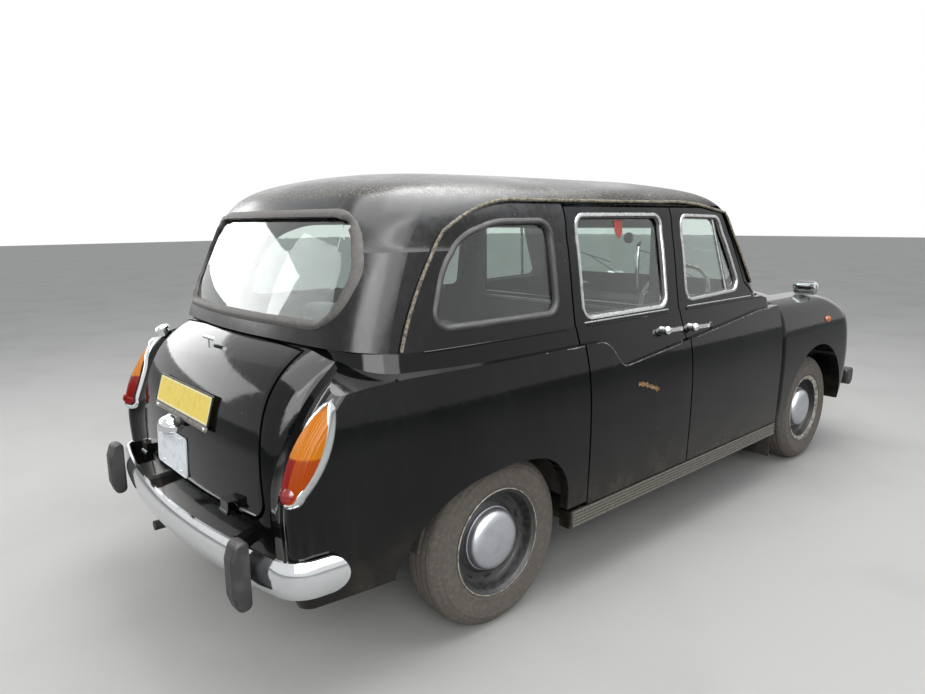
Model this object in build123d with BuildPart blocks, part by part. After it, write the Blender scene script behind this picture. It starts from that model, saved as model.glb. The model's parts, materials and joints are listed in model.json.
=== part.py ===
# Purpose-built taxi cab: separate chassis, four hinged side doors, bonnet and drop-down boot lid.
# Frame: +X forward, +Y left, +Z up, origin on the ground under the middle of the bumpers.
from build123d import *
import math
import os

os.makedirs("parts", exist_ok=True)

# Driving dimensions, mm
LENGTH = 4585
WHEELBASE = 2810
TRACK = 1422
REAR_AXLE_X = -1287.5
FRONT_AXLE_X = REAR_AXLE_X + WHEELBASE
TYRE_RADIUS = 338
HUB_Z = TYRE_RADIUS
RIM_RADIUS = 212
REAR_END_X = -LENGTH / 2
FRONT_END_X = LENGTH / 2

LOWER_WALL = 60
UPPER_WALL = 42
ROOF_WALL = 32
ROOF_START_Z = 1600
WAIST_Z = 1128
DECK_Z = 1160
SILL_TOP_Z = 368
FLOOR_Z = 330
BOOT_FLOOR_Z = 560
GLASS = 5
WINDOW_RADIUS = 55

DOOR_GAP = 10
B_POST_X = -38
REAR_DOOR_BACK_X = -828
FRONT_DOOR_FRONT_X = 952
DOOR_TOP_Z = 1616
WING_START_X = 957

BAY_HALF = 420
FRONT_ARCH_X = 1487
FRONT_ARCH_R = 430
REAR_WELL_R = 392
ARCH_CENTRE_Z = 345
KINGPIN_Y = 625
DRUM_R = 118
SHAFT_Z = 258
RAIL_Y = 400
JACK_PAD_X = (-700, 600)
JACK_PAD_Z = 190
SCUTTLE_HALF = 682
EXHAUST_Y = 560
EXHAUST_Z = 215
PARTITION_X = -38
STEERING_X = 548
STEERING_Y = -380
STEERING_Z = 1128
LID_TOP = 1180
LID_TOP_SUM = -805
LID_BOTTOM = 622
LID_HINGE_X = -2199
LID_HINGE_Z = 618
FAR = 1000

# Plan outlines of the greenhouse, one row a height
# z, x_rear, x_front, half_width, x_taper, r_side, r_rear_corner, r_rear_bow, r_front_corner, r_front_bow
WINDOW_BAND = [
    (1040, -1990, 965, 786, -1300, 3200, 200, 3000, 90, 3000),
    (1180, -1962, 880, 760, -1300, 3100, 205, 2900, 90, 3000),
    (1320, -1917, 795, 741, -1275, 2850, 212, 2700, 90, 3000),
    (1460, -1860, 712, 720, -1250, 2600, 220, 2600, 90, 3000),
]
ROOF = [
    (1460, -1860, 712, 720, -1250, 2600, 220, 2600, 90, 3000),
    (1535, -1824, 667, 708, -1225, 2400, 225, 2500, 90, 3000),
    (1600, -1785, 622, 694, -1200, 2200, 232, 2400, 100, 2900),
    (1655, -1738, 560, 662, -1120, 2050, 250, 2250, 125, 2700),
    (1700, -1665, 455, 596, -1020, 1850, 285, 2050, 170, 2400),
    (1733, -1545, 290, 480, -920, 1650, 300, 1700, 220, 2000),
    (1754, -1350, 40, 330, -830, 1400, 230, 1300, 210, 1600),
    (1762, -1190, -130, 205, -800, 1100, 150, 1000, 150, 1250),
]
LINING = [WINDOW_BAND[0], WINDOW_BAND[3]] + ROOF[2:6]

# Plan outlines of the recessed band under the windows and of the boot hump, same columns
WAIST_BAND = [
    (880, -1960, 1000, 842, -1290, 6000, 200, 3200, 60, 4000),
    (960, -1960, 1000, 826, -1290, 5400, 200, 3200, 60, 4000),
    (1040, -1955, 1000, 800, -1290, 4600, 205, 3100, 60, 4000),
    (1120, -1945, 1000, 775, -1290, 3800, 210, 2900, 60, 4000),
    (1200, -1930, 1000, 752, -1290, 3200, 215, 2800, 60, 4000),
]
BOOT_HUMP = [
    (390, -2160, 0, 668, -1290, 9000, 95, 3500, 60, 4000),
    (500, -2180, 0, 670, -1290, 9000, 95, 3500, 60, 4000),
    (610, -2190, 0, 672, -1290, 9000, 95, 3500, 60, 4000),
    (720, -2189, 0, 672, -1290, 9000, 98, 3500, 60, 4000),
    (830, -2180, 0, 668, -1290, 9000, 106, 3400, 60, 4000),
    (940, -2156, 0, 660, -1290, 9000, 120, 3300, 60, 4000),
    (1050, -2098, 0, 648, -1290, 9000, 145, 3100, 60, 4000),
    (1160, -1950, 0, 625, -1290, 9000, 180, 2900, 60, 4000),
]
CAVITY = [
    (290, -2120, 1100, 846, -1290, 6000, 190, 9000, 60, 4000),
    (420, -2165, 1100, 852, -1290, 6000, 190, 9000, 60, 4000),
    (620, -2185, 1100, 856, -1290, 6000, 190, 9000, 60, 4000),
    (780, -2178, 1100, 858, -1290, 6000, 190, 9000, 60, 4000),
    (919, -2140, 1100, 838, -1290, 6000, 200, 9000, 60, 4000),
    (1026, -2060, 1100, 804, -1290, 5000, 230, 6000, 60, 4000),
    (1110, -1940, 1100, 776, -1290, 3600, 240, 4000, 60, 4000),
    (1201, -1800, 1100, 752, -1290, 3200, 240, 4000, 60, 4000),
]

# Plan outlines of the front wings and nose, same columns
NOSE_LOW = [
    (345, 900, 2150, 846, 1000, 9000, 60, 9000, 230, 4000),
    (448, 900, 2190, 855, 1000, 9000, 60, 9000, 240, 4000),
    (551, 900, 2212, 861, 1000, 9000, 60, 9000, 250, 4000),
    (654, 900, 2218, 865, 1000, 9000, 60, 9000, 256, 4000),
    (757, 900, 2212, 866, 1000, 9000, 60, 9000, 262, 4000),
    (860, 900, 2196, 863, 1000, 9000, 60, 9000, 270, 4000),
]
NOSE_TOP = [
    (860, 900, 2196, 863, 1000, 9000, 60, 9000, 270, 4000),
    (912, 900, 2175, 857, 1000, 9000, 60, 9000, 277, 3800),
    (960, 900, 2136, 847, 1000, 9000, 60, 9000, 285, 3500),
    (1000, 900, 2070, 833, 1000, 9000, 60, 9000, 290, 3000),
    (1032, 900, 2002, 815, 1000, 9000, 60, 9000, 292, 2600),
    (1056, 900, 1925, 792, 1000, 9000, 60, 9000, 290, 2200),
    (1072, 900, 1840, 762, 1000, 9000, 60, 9000, 285, 2000),
    (1080, 900, 1740, 728, 1000, 9000, 60, 9000, 280, 1900),
]

# Plan outlines of the rear wings and door skins
# z, x_rear, x_tip, half_width, r_bow, r_tip, r_valley
WING_SKIN = [
    (290, -2072, -2092, 846, 20000, 46, 190),
    (400, -2107, -2129, 851, 20000, 46, 190),
    (510, -2127, -2149, 856, 20000, 46, 190),
    (620, -2134, -2156, 860, 20000, 46, 190),
    (730, -2132, -2155, 862, 20000, 46, 190),
    (840, -2102, -2128, 860, 20000, 46, 190),
    (950, -2042, -2070, 849, 20000, 48, 190),
    (1060, -1945, -1974, 824, 20000, 50, 190),
    (1130, -1867, -1897, 802, 20000, 52, 190),
]
WING_TAPER_X = -1290
WING_SIDE_R = 6000
WING_FRONT_X = 1000

# Top of the rear wings: x, z at the crest, slope inwards
SHOULDER = [
    (-2230, 940, 0.50),
    (-2050, 1012, 0.46),
    (-1870, 1048, 0.36),
    (-1690, 1060, 0.24),
    (-1510, 1061, 0.13),
    (-1330, 1060, 0.06),
    (-1150, 1060, 0.02),
    (-970, 1060, 0.0),
    (-790, 1060, 0.0),
]
CREST_Y = 810

# Bonnet stations: x, half_width, z_edge, z_crown
BONNET = [
    (963, 411, 1052, 1146),
    (1255, 411, 1048, 1133),
    (1550, 411, 1036, 1110),
    (1845, 409, 1004, 1070),
    (2140, 398, 935, 992),
]
BONNET_WALL = 24
BONNET_FLANGE = 30
SHADOW_TOP_Z = 1400
SHADOW_DROP = 13
GUTTER_DEPTH = 9
GUTTER_WIDTH = 15
LENS_DEPTH = 16


def toward(a, b, r):
    """Point at distance r from a, on the way to b."""
    n = math.hypot(b[0] - a[0], b[1] - a[1])
    return (a[0] + (b[0] - a[0]) / n * r, a[1] + (b[1] - a[1]) / n * r)


def middle(p, q):
    return ((p[0] + q[0]) / 2, (p[1] + q[1]) / 2)


def flip(p):
    return (p[0], -p[1])


def circle_crossings(c0, r0, c1, r1):
    """Both points at distance r0 from c0 and r1 from c1."""
    dx = c1[0] - c0[0]
    dy = c1[1] - c0[1]
    d = math.hypot(dx, dy)
    t = (r0 * r0 - r1 * r1 + d * d) / (2 * d)
    h = math.sqrt(r0 * r0 - t * t)
    return [(c0[0] + (t * dx - s * h * dy) / d, c0[1] + (t * dy + s * h * dx) / d) for s in (1, -1)]


def corner_arc(flank_centre, flank_r, bow_centre, bow_r, corner_r):
    """Start, middle and end of a corner arc that is tangent inside two larger arcs."""
    ways = circle_crossings(flank_centre, flank_r - corner_r, bow_centre, bow_r - corner_r)
    centre = max(ways, key=lambda c: c[1])
    p = toward(flank_centre, centre, flank_r)
    q = toward(bow_centre, centre, bow_r)
    return p, toward(centre, middle(p, q), corner_r), q


def plan_face(row, inset, z):
    """Closed plan outline of ten lines and arcs, symmetric about the centre line."""
    _, x_rear, x_front, half, x_taper, r_side, r_rc, r_rb, r_fc, r_fb = row
    x_rear += inset
    x_front -= inset
    half -= inset
    r_side -= inset
    r_rb -= inset
    r_fb -= inset
    r_rc = max(r_rc - inset, 15)
    r_fc = max(r_fc - inset, 15)
    flank = (x_taper, half - r_side)
    p, m, q = corner_arc(flank, r_side, (x_rear + r_rb, 0), r_rb, r_rc)
    flank_mid = toward(flank, middle((x_taper, half), p), r_side)
    straight = 1e6
    fp, fm, fq = corner_arc((x_taper, half - straight), straight, (x_front - r_fb, 0), r_fb, r_fc)
    fp = (fp[0], half)
    with BuildSketch(Plane.XY.offset(z)) as face:
        with BuildLine():
            Line(fp, (x_taper, half))
            ThreePointArc((x_taper, half), flank_mid, p)
            ThreePointArc(p, m, q)
            ThreePointArc(q, (x_rear, 0), flip(q))
            ThreePointArc(flip(q), flip(m), flip(p))
            ThreePointArc(flip(p), flip(flank_mid), (x_taper, -half))
            Line((x_taper, -half), flip(fp))
            ThreePointArc(flip(fp), flip(fm), flip(fq))
            ThreePointArc(flip(fq), (x_front, 0), fq)
            ThreePointArc(fq, fm, fp)
        make_face()
    return face.sketch


def wing_face(row, inset, z):
    """Plan outline with a rounded wing tip at each rear corner and a shallow valley inside it."""
    _, x_rear, x_tip, half, r_bow, r_tip, r_valley = row
    half -= inset
    r_side = WING_SIDE_R - inset
    r_bow -= inset
    r_tip -= inset
    r_valley += inset
    x_rear += inset
    x_tip += inset
    flank = (WING_TAPER_X, half - r_side)
    tip_x = x_tip + r_tip
    tip = (tip_x, flank[1] + math.sqrt((r_side - r_tip) ** 2 - (tip_x - flank[0]) ** 2))
    bow = (x_rear + r_bow, 0)
    valley = min(circle_crossings(bow, r_bow + r_valley, tip, r_tip + r_valley), key=lambda c: c[0])
    a = (WING_TAPER_X, half)
    b = toward(flank, tip, r_side)
    c = toward(tip, valley, r_tip)
    d = toward(bow, valley, r_bow)
    ab = toward(flank, middle(a, b), r_side)
    bc = toward(tip, middle(b, c), r_tip)
    cd = toward(valley, middle(c, d), r_valley)
    with BuildSketch(Plane.XY.offset(z)) as face:
        with BuildLine():
            Line((WING_FRONT_X, half), a)
            ThreePointArc(a, ab, b)
            ThreePointArc(b, bc, c)
            ThreePointArc(c, cd, d)
            ThreePointArc(d, (x_rear, 0), flip(d))
            ThreePointArc(flip(d), flip(cd), flip(c))
            ThreePointArc(flip(c), flip(bc), flip(b))
            ThreePointArc(flip(b), flip(ab), flip(a))
            Line(flip(a), (WING_FRONT_X, -half))
            Line((WING_FRONT_X, -half), (WING_FRONT_X, half))
        make_face()
    return face.sketch


def body_volume(rows, inset=0, face=plan_face, ruled=False, drop=0):
    """Solid lofted through the plan outlines; drop lowers the rows of the roof."""
    with BuildPart() as volume:
        for row in rows:
            add(face(row, inset, row[0] - (drop if row[0] >= ROOF_START_Z else 0)))
        loft(ruled=ruled)
    return volume.part


def join(*parts):
    with BuildPart() as joined:
        for part in parts:
            add(part)
    return joined.part


def cut(part, *tools):
    with BuildPart() as result:
        add(part)
        for tool in tools:
            add(tool, mode=Mode.SUBTRACT)
    return result.part


def common(part, *tools):
    with BuildPart() as result:
        add(part)
        for tool in tools:
            add(tool, mode=Mode.INTERSECT)
    return result.part


def side_prism(points, y_low, y_high):
    """Solid between two y planes whose side view is the given x, z outline."""
    with BuildPart() as prism:
        with BuildSketch(Plane.XZ.offset(-y_high)):
            with BuildLine():
                Polyline(*points, close=True)
            make_face()
        extrude(amount=y_high - y_low)
    return prism.part


def box(x0, x1, y0, y1, z0, z1):
    """Block between two corners."""
    with BuildPart() as block:
        with BuildSketch(Plane.XY.offset(z0)):
            with Locations(((x0 + x1) / 2, (y0 + y1) / 2)):
                Rectangle(x1 - x0, y1 - y0)
        extrude(amount=z1 - z0)
    return block.part


def side_box(x0, x1, y_sign, y0, y1, z0, z1):
    """Block on the right (y_sign -1) or left (1) side, with y0 and y1 measured outwards."""
    low, high = sorted((y_sign * y0, y_sign * y1))
    return box(x0, x1, low, high, z0, z1)


def rounded_window(points, radius, y_low, y_high):
    """Side-view window cutter with rounded corners."""
    with BuildPart() as cutter:
        with BuildSketch(Plane.XZ.offset(-y_high)) as face:
            with BuildLine():
                Polyline(*points, close=True)
            make_face()
            fillet(face.vertices(), radius)
        extrude(amount=y_high - y_low)
    return cutter.part


def y_cylinder(x, z, r, y0, y1):
    """Cylinder along y."""
    low, high = sorted((y0, y1))
    with BuildPart() as rod:
        with BuildSketch(Plane.XZ.offset(-high)):
            with Locations((x, z)):
                Circle(r)
        extrude(amount=high - low)
    return rod.part


def x_cylinder(x0, x1, y, z, r):
    """Cylinder along x."""
    with BuildPart() as rod:
        with BuildSketch(Plane.YZ.offset(x0)):
            with Locations((y, z)):
                Circle(r)
        extrude(amount=x1 - x0)
    return rod.part


def keep(part, name):
    """Label one finished piece and write it."""
    part.label = name
    export_step(part, f"parts/{name}.step")


def keep_all(parts, name):
    """Write like pieces that don't touch as one node."""
    keep(Compound(children=[solid for part in parts for solid in part.solids()]), name)


def span(y_sign, low=300):
    """Range of y on one side of the cab."""
    return (-FAR, -low) if y_sign < 0 else (low, FAR)


SIDES = (("right", -1), ("left", 1))

# Body volumes
upper_outer = join(body_volume(WINDOW_BAND), body_volume(ROOF))
upper_inner = body_volume(LINING, UPPER_WALL, ruled=True, drop=ROOF_WALL)
cavity = body_volume(CAVITY, LOWER_WALL, ruled=True)
wing_skin = body_volume(WING_SKIN, face=wing_face)


def shoulder_cutter(y_sign):
    """What lies above the sloping top of a rear wing."""
    inner = 300
    with BuildPart() as cutter:
        for x, z_crest, slope in SHOULDER:
            z_out = z_crest - slope * (FAR - CREST_Y)
            z_in = z_crest + slope * (CREST_Y - inner)
            with BuildSketch(Plane.YZ.offset(x)):
                with BuildLine():
                    Polyline((y_sign * FAR, z_out), (y_sign * inner, z_in), (y_sign * inner, 1500),
                             (y_sign * FAR, 1500), close=True)
                make_face()
        loft()
    return cutter.part


def swage_cutter(y_sign):
    """What lies above the wing line along the doors, with its S-shaped drop in the rear door."""
    low, high = span(y_sign)
    with BuildPart() as cutter:
        with BuildSketch(Plane.XZ.offset(-high)):
            with BuildLine():
                Line((-791, 1060), (-715, 1060))
                ThreePointArc((-715, 1060), (-669, 1041), (-640, 1008))
                Line((-640, 1008), (-612, 968))
                ThreePointArc((-612, 968), (-590, 950), (-560, 944))
                ThreePointArc((-560, 944), (60, 1002), (700, 1064))
                Polyline((700, 1064), (1050, 1070), (1050, 1500), (-791, 1500), (-791, 1060))
            make_face()
        extrude(amount=high - low)
    return cutter.part


cutters = [shape(s) for s in (-1, 1) for shape in (shoulder_cutter, swage_cutter)]
lower_outer = join(cut(wing_skin, *cutters), body_volume(WAIST_BAND), body_volume(BOOT_HUMP))

# The upper shell ends at the waist, and at the rear at the deck above the boot lid
WAIST_LINE = [(-2400, DECK_Z), (-1950, DECK_Z), (-1700, WAIST_Z), (1200, WAIST_Z)]
upper_region = side_prism(WAIST_LINE + [(1200, 2000), (-2400, 2000)], -FAR, FAR)
lower_region = side_prism(WAIST_LINE + [(1200, 200), (-2400, 200)], -FAR, FAR)
upper_shell = common(cut(upper_outer, upper_inner), upper_region)
lower_shell = common(cut(lower_outer, cavity), lower_region)

# Side-view outlines of the doors and windows, x and z
HALF_GAP = DOOR_GAP / 2
DOOR_BOTTOM_Z = SILL_TOP_Z + 10
DOOR_HEAD_GAP = DOOR_GAP + 4
REAR_DOOR = [
    (REAR_DOOR_BACK_X + HALF_GAP, DOOR_BOTTOM_Z),
    (B_POST_X - HALF_GAP, DOOR_BOTTOM_Z),
    (B_POST_X - HALF_GAP, DOOR_TOP_Z),
    (REAR_DOOR_BACK_X + HALF_GAP, DOOR_TOP_Z),
]
FRONT_DOOR = [
    (B_POST_X + HALF_GAP, DOOR_BOTTOM_Z),
    (FRONT_DOOR_FRONT_X - HALF_GAP, DOOR_BOTTOM_Z),
    (FRONT_DOOR_FRONT_X - HALF_GAP, 1100),
    (730, 1150),
    (640, 1215),
    (450, DOOR_TOP_Z),
    (B_POST_X + HALF_GAP, DOOR_TOP_Z),
]
DOOR_OPENING = [
    (REAR_DOOR_BACK_X - HALF_GAP, 1000),
    (FRONT_DOOR_FRONT_X + HALF_GAP, 1000),
    (FRONT_DOOR_FRONT_X + HALF_GAP, 1110),
    (735, 1158),
    (648, 1222),
    (458, DOOR_TOP_Z + DOOR_HEAD_GAP),
    (REAR_DOOR_BACK_X - HALF_GAP, DOOR_TOP_Z + DOOR_HEAD_GAP),
]
REAR_DOOR_WINDOW = [(-768, 1152), (-132, 1152), (-132, 1588), (-768, 1588)]
FRONT_DOOR_WINDOW = [(40, 1163), (598, 1180), (408, 1578), (40, 1586)]
QUARTER_WINDOW = [(-1572, 1190), (-922, 1190), (-922, 1562), (-1230, 1562), (-1404, 1510), (-1500, 1400)]
REAR_WINDOW = [(-600, 1222), (600, 1222), (632, 1400), (545, 1592), (-545, 1592), (-632, 1400)]
WINDSCREEN = [(-640, 1195), (640, 1195), (580, 1590), (-580, 1590)]


def end_window(points, radius, x_start, depth):
    """Front or rear window cutter, from its y, z outline."""
    with BuildPart() as cutter:
        with BuildSketch(Plane.YZ.offset(x_start)) as face:
            with BuildLine():
                Polyline(*points, close=True)
            make_face()
            fillet(face.vertices(), radius)
        extrude(amount=depth)
    return cutter.part


def quarter_cutter(y_sign):
    """Rounded D-shaped hole in the rear pillar."""
    return rounded_window(QUARTER_WINDOW, 52, *span(y_sign))


def gutter_bead(y_sign):
    """Drip rail that runs over the doors, on the skin of the roof."""
    low, high = span(y_sign)
    with BuildPart() as strip:
        with BuildSketch(Plane.XZ.offset(-high)):
            with BuildLine() as path:
                ThreePointArc((-1706, 1136), (-1614, 1335), (-1480, 1528))
                ThreePointArc((-1480, 1528), (-1300, 1613), (-1080, 1641))
                Line((-1080, 1641), (-100, 1643))
                ThreePointArc((-100, 1643), (260, 1632), (480, 1596))
                Line((480, 1596), (706, 1214))
            trace(path.line, line_width=GUTTER_WIDTH)
        extrude(amount=high - low)
    grown = join(body_volume(WINDOW_BAND, -GUTTER_DEPTH), body_volume(ROOF, -GUTTER_DEPTH))
    return cut(common(grown, strip.part), upper_inner)


screen_cut = end_window(WINDSCREEN, 80, 200, 900)
rear_cut = end_window(REAR_WINDOW, 105, -2200, 700)

# Roof with its pillars, drip rails, rear dome and windscreen surround
roof = upper_shell
for side, y_sign in SIDES:
    roof = join(roof, gutter_bead(y_sign))
roof = cut(roof, screen_cut, rear_cut)
for side, y_sign in SIDES:
    roof = cut(roof, side_prism(DOOR_OPENING, *span(y_sign)), quarter_cutter(y_sign))
keep(roof, "roof_shell")

# Fixed glass: windscreen, rear window and the two quarter windows
GLASS_INSET = 14
glass_outer = join(body_volume(WINDOW_BAND, GLASS_INSET), body_volume(ROOF[:3], GLASS_INSET))
glass_inner = join(body_volume(WINDOW_BAND, GLASS_INSET + GLASS), body_volume(ROOF[:3], GLASS_INSET + GLASS))
panes = [cut(common(glass_outer, hole), glass_inner)
         for hole in (screen_cut, rear_cut, quarter_cutter(-1), quarter_cutter(1))]
keep_all(panes, "fixed_windows")


def side_glass_slab(y_sign):
    """Flat leaning sheet that the door windows are cut from."""
    y_low, z_low = 754, 1140
    y_high, z_high = 679, 1600
    with BuildPart() as slab:
        with BuildSketch(Plane.YZ.offset(-FAR)):
            with BuildLine():
                Polyline((y_sign * y_low, z_low), (y_sign * y_high, z_high),
                         (y_sign * (y_high - GLASS), z_high), (y_sign * (y_low - GLASS), z_low), close=True)
            make_face()
        extrude(amount=1800)
    return slab.part


# Doors with their glass
DOORS = {
    "front": (FRONT_DOOR, FRONT_DOOR_WINDOW),
    "rear": (REAR_DOOR, REAR_DOOR_WINDOW),
}
for side, y_sign in SIDES:
    for place, (outline, window) in DOORS.items():
        region = side_prism(outline, *span(y_sign))
        hole = rounded_window(window, WINDOW_RADIUS, *span(y_sign))
        door = cut(join(common(upper_shell, region), common(lower_shell, region)), hole)
        keep(door, f"door_{place}_{side}")
        keep(common(side_glass_slab(y_sign), hole), f"glass_{place}_{side}")

# Door handles: base boss, lever and rounded tip. Columns: x of the boss, x of the tip, z
HANDLES = {
    "front": (16, 128, 1042),
    "rear": (-226, -118, 1052),
}
SKIN_Y = 772
SKIN_LEAN = 0.33
for side, y_sign in SIDES:
    for place, (x_boss, x_tip, z) in HANDLES.items():
        y_skin = SKIN_Y + (WAIST_Z - z) * SKIN_LEAN
        boss = y_cylinder(x_boss, z, 17, y_sign * (y_skin - 25), y_sign * (y_skin + 34))
        with BuildPart() as lever:
            with BuildSketch(Plane.XY.offset(z - 8)):
                with BuildLine():
                    Polyline((x_boss, y_sign * (y_skin + 24)), (x_boss, y_sign * (y_skin + 40)),
                             (x_tip - 20, y_sign * (y_skin + 47)))
                    ThreePointArc((x_tip - 20, y_sign * (y_skin + 47)), (x_tip, y_sign * (y_skin + 38)),
                                  (x_tip - 20, y_sign * (y_skin + 33)))
                    Line((x_tip - 20, y_sign * (y_skin + 33)), (x_boss, y_sign * (y_skin + 24)))
                make_face()
            extrude(amount=16)
        door_skin = common(lower_shell, box(x_boss - 60, x_tip + 60, -FAR, FAR, z - 60, z + 60))
        keep(cut(join(boss, lever.part), door_skin), f"handle_{place}_{side}")


# Boot lid, tail panel and rear quarters
def lid_prism(grow):
    """Rear-view outline of the boot lid, run along x and cut off square to the skin at its top."""
    with BuildPart() as prism:
        with BuildSketch(Plane.YZ.offset(-2400)) as face:
            with BuildLine():
                Polyline((-585 - grow, LID_BOTTOM - grow), (585 + grow, LID_BOTTOM - grow),
                         (505 + grow, LID_TOP + grow), (-505 - grow, LID_TOP + grow), close=True)
            make_face()
            fillet(face.vertices(), 60)
        extrude(amount=560)
    line = LID_TOP_SUM + math.sqrt(2) * grow
    return common(prism.part, side_prism([(-2400, 500), (line - 500, 500), (-2400, line + 2400)], -700, 700))


LID_GAP = 10
lid = common(lower_shell, lid_prism(0))
for y_sign in (-1, 1):
    barrel = y_cylinder(LID_HINGE_X, LID_HINGE_Z, 7, y_sign * 380, y_sign * 440)
    leaf = side_box(LID_HINGE_X - 1, -2150, y_sign, 380, 440, LID_BOTTOM, LID_BOTTOM + 34)
    lid = join(lid, barrel, leaf)
keep(lid, "boot_lid")
behind_doors = box(-2400, REAR_DOOR_BACK_X - HALF_GAP, -FAR, FAR, 200, 1300)
rear_half = cut(common(lower_shell, behind_doors), lid_prism(LID_GAP))
TAIL_HALF = 600
tail = common(rear_half, box(-2400, -1700, -TAIL_HALF, TAIL_HALF, 400, 1300))
for y_sign in (-1, 1):
    tail = cut(tail, side_box(-2300, -2000, y_sign, 374, 426, 449, 506))
    tail = cut(tail, side_box(-2300, -2150, y_sign, 372, 448, LID_HINGE_Z - 15, LID_BOTTOM))
keep(tail, "tail_panel")


def rear_arch_cutter():
    """Opening over a rear wheel, flat over the tyre and tight at its front end."""
    with BuildPart() as cutter:
        with BuildSketch(Plane.XZ.offset(-FAR)):
            with BuildLine():
                ThreePointArc((-1806, 416), (-1640, 588), (-1420, 663))
                ThreePointArc((-1420, 663), (-1260, 674), (-1120, 656))
                ThreePointArc((-1120, 656), (-1006, 586), (-957, 412))
                Polyline((-957, 412), (-955, 200), (-1830, 200), (-1806, 416))
            make_face()
        extrude(amount=2 * FAR)
    return cutter.part


WING_BOTTOM_Z = 392
for side, y_sign in SIDES:
    low, high = span(y_sign, TAIL_HALF)
    quarter = common(rear_half, box(-2400, REAR_DOOR_BACK_X - HALF_GAP, low, high, WING_BOTTOM_Z, 1300))
    quarter = cut(quarter, rear_arch_cutter(), y_cylinder(REAR_AXLE_X, HUB_Z, REAR_WELL_R, -812, 812))
    keep(quarter, f"rear_quarter_{side}")

# Inner wheel housings above the rear wheels
houses = []
for side, y_sign in SIDES:
    house = y_cylinder(REAR_AXLE_X, HUB_Z, REAR_WELL_R + 12, y_sign * 590, y_sign * 780)
    house = cut(house, y_cylinder(REAR_AXLE_X, HUB_Z, REAR_WELL_R, y_sign * 602, y_sign * FAR))
    houses.append(common(house, box(-2400, 0, -FAR, FAR, 420, 1300)))
keep_all(houses, "wheel_housings")

# Floor: cabin floor, seat step and boot floor in one pressing
floor = join(
    box(-900, 945, -780, 780, FLOOR_Z - 22, FLOOR_Z),
    box(-922, -900, -585, 585, FLOOR_Z - 22, BOOT_FLOOR_Z),
    box(-2060, -900, -585, 585, BOOT_FLOOR_Z - 20, BOOT_FLOOR_Z),
)
keep(floor, "floor_pan")

# Sills with their ribbed strips
SILL_OUT_Y = 838
STRIP_OUT_Y = 850
sills = []
strips = []
for side, y_sign in SIDES:
    sills.append(side_box(REAR_DOOR_BACK_X - 100, FRONT_DOOR_FRONT_X + 4, y_sign, 785, SILL_OUT_Y,
                          292, SILL_TOP_Z))
    strip = side_box(-918, 950, y_sign, SILL_OUT_Y, STRIP_OUT_Y, 300, 368)
    grooves = [side_box(-920, 952, y_sign, STRIP_OUT_Y - 5, STRIP_OUT_Y + 5, z, z + 6)
               for z in (311, 325, 339, 353)]
    strips.append(cut(strip, *grooves))
keep_all(sills, "sills")
keep_all(strips, "sill_strips")

# Front wings with their wheel wells and the valley beside the bonnet
front_outer = join(body_volume(NOSE_LOW), body_volume(NOSE_TOP))
front_inner = join(body_volume(NOSE_LOW, 36), body_volume(NOSE_TOP, 36))
TROUGH_R = 190
TROUGH_Y = 465
TROUGH_STATIONS = BONNET + [(2435, 380, 800, 850)]


def bonnet_valley(y_sign):
    """Round-bottomed trough between the bonnet's edge and the crown of the wing."""
    with BuildPart() as trough:
        for x, _, z_edge, _ in TROUGH_STATIONS:
            with BuildSketch(Plane.YZ.offset(x - 10)):
                with Locations((y_sign * TROUGH_Y, z_edge - 14 + TROUGH_R)):
                    Circle(TROUGH_R)
        loft()
    return trough.part


LAMP_Y = 655
LAMP_Z = 800
LAMP_X = 2150
LAMP_SEAT_X = LAMP_X + 1
LAMP_SEAT_R = 104.5
for side, y_sign in SIDES:
    low, high = span(y_sign, BAY_HALF)
    with BuildPart() as pod:
        with BuildSketch(Plane.YZ.offset(1990)):
            with Locations((y_sign * LAMP_Y, LAMP_Z)):
                Circle(128)
        with BuildSketch(Plane.YZ.offset(LAMP_X)):
            with Locations((y_sign * LAMP_Y, LAMP_Z)):
                Circle(108)
        loft()
    wing = common(join(front_outer, pod.part), box(WING_START_X, 2400, low, high, 300, 1100))
    wing = cut(
        wing,
        bonnet_valley(y_sign),
        y_cylinder(FRONT_ARCH_X, ARCH_CENTRE_Z, FRONT_ARCH_R, y_sign * 440, y_sign * FAR),
        side_box(1200, 1780, y_sign, 400, 440, 300, 640),
        x_cylinder(LAMP_SEAT_X, 2400, y_sign * LAMP_Y, LAMP_Z, LAMP_SEAT_R),
    )
    keep(wing, f"front_wing_{side}")

# Scuttle: firewall and cowl ahead of the windscreen
scuttle = join(
    box(957, 985, -BAY_HALF + 1, BAY_HALF - 1, 310, 1010),
    box(790, 952, -SCUTTLE_HALF, SCUTTLE_HALF, 1085, WAIST_Z),
    box(925, 957, -SCUTTLE_HALF, SCUTTLE_HALF, FLOOR_Z, WAIST_Z),
)
for y_sign in (-1, 1):
    scuttle = cut(scuttle, side_box(780, 890, y_sign, 648, 700, WAIST_Z - 6, WAIST_Z + 10))
keep(scuttle, "scuttle")


def bonnet_volume(inset):
    """Crowned bonnet, lofted through arched sections."""
    with BuildPart() as volume:
        for x, half, z_edge, z_crown in BONNET:
            h = half - inset
            edge = z_edge - inset
            bottom = z_edge - BONNET_FLANGE - 3 * inset
            with BuildSketch(Plane.YZ.offset(x)):
                with BuildLine():
                    Polyline((h, edge), (h, bottom), (-h, bottom), (-h, edge))
                    ThreePointArc((-h, edge), (0, z_crown - inset), (h, edge))
                make_face()
        loft()
    return volume.part


bonnet = cut(bonnet_volume(0), bonnet_volume(BONNET_WALL))
keep(cut(bonnet, box(940, 2000, -600, 600, 800, 900)), "bonnet")


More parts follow.
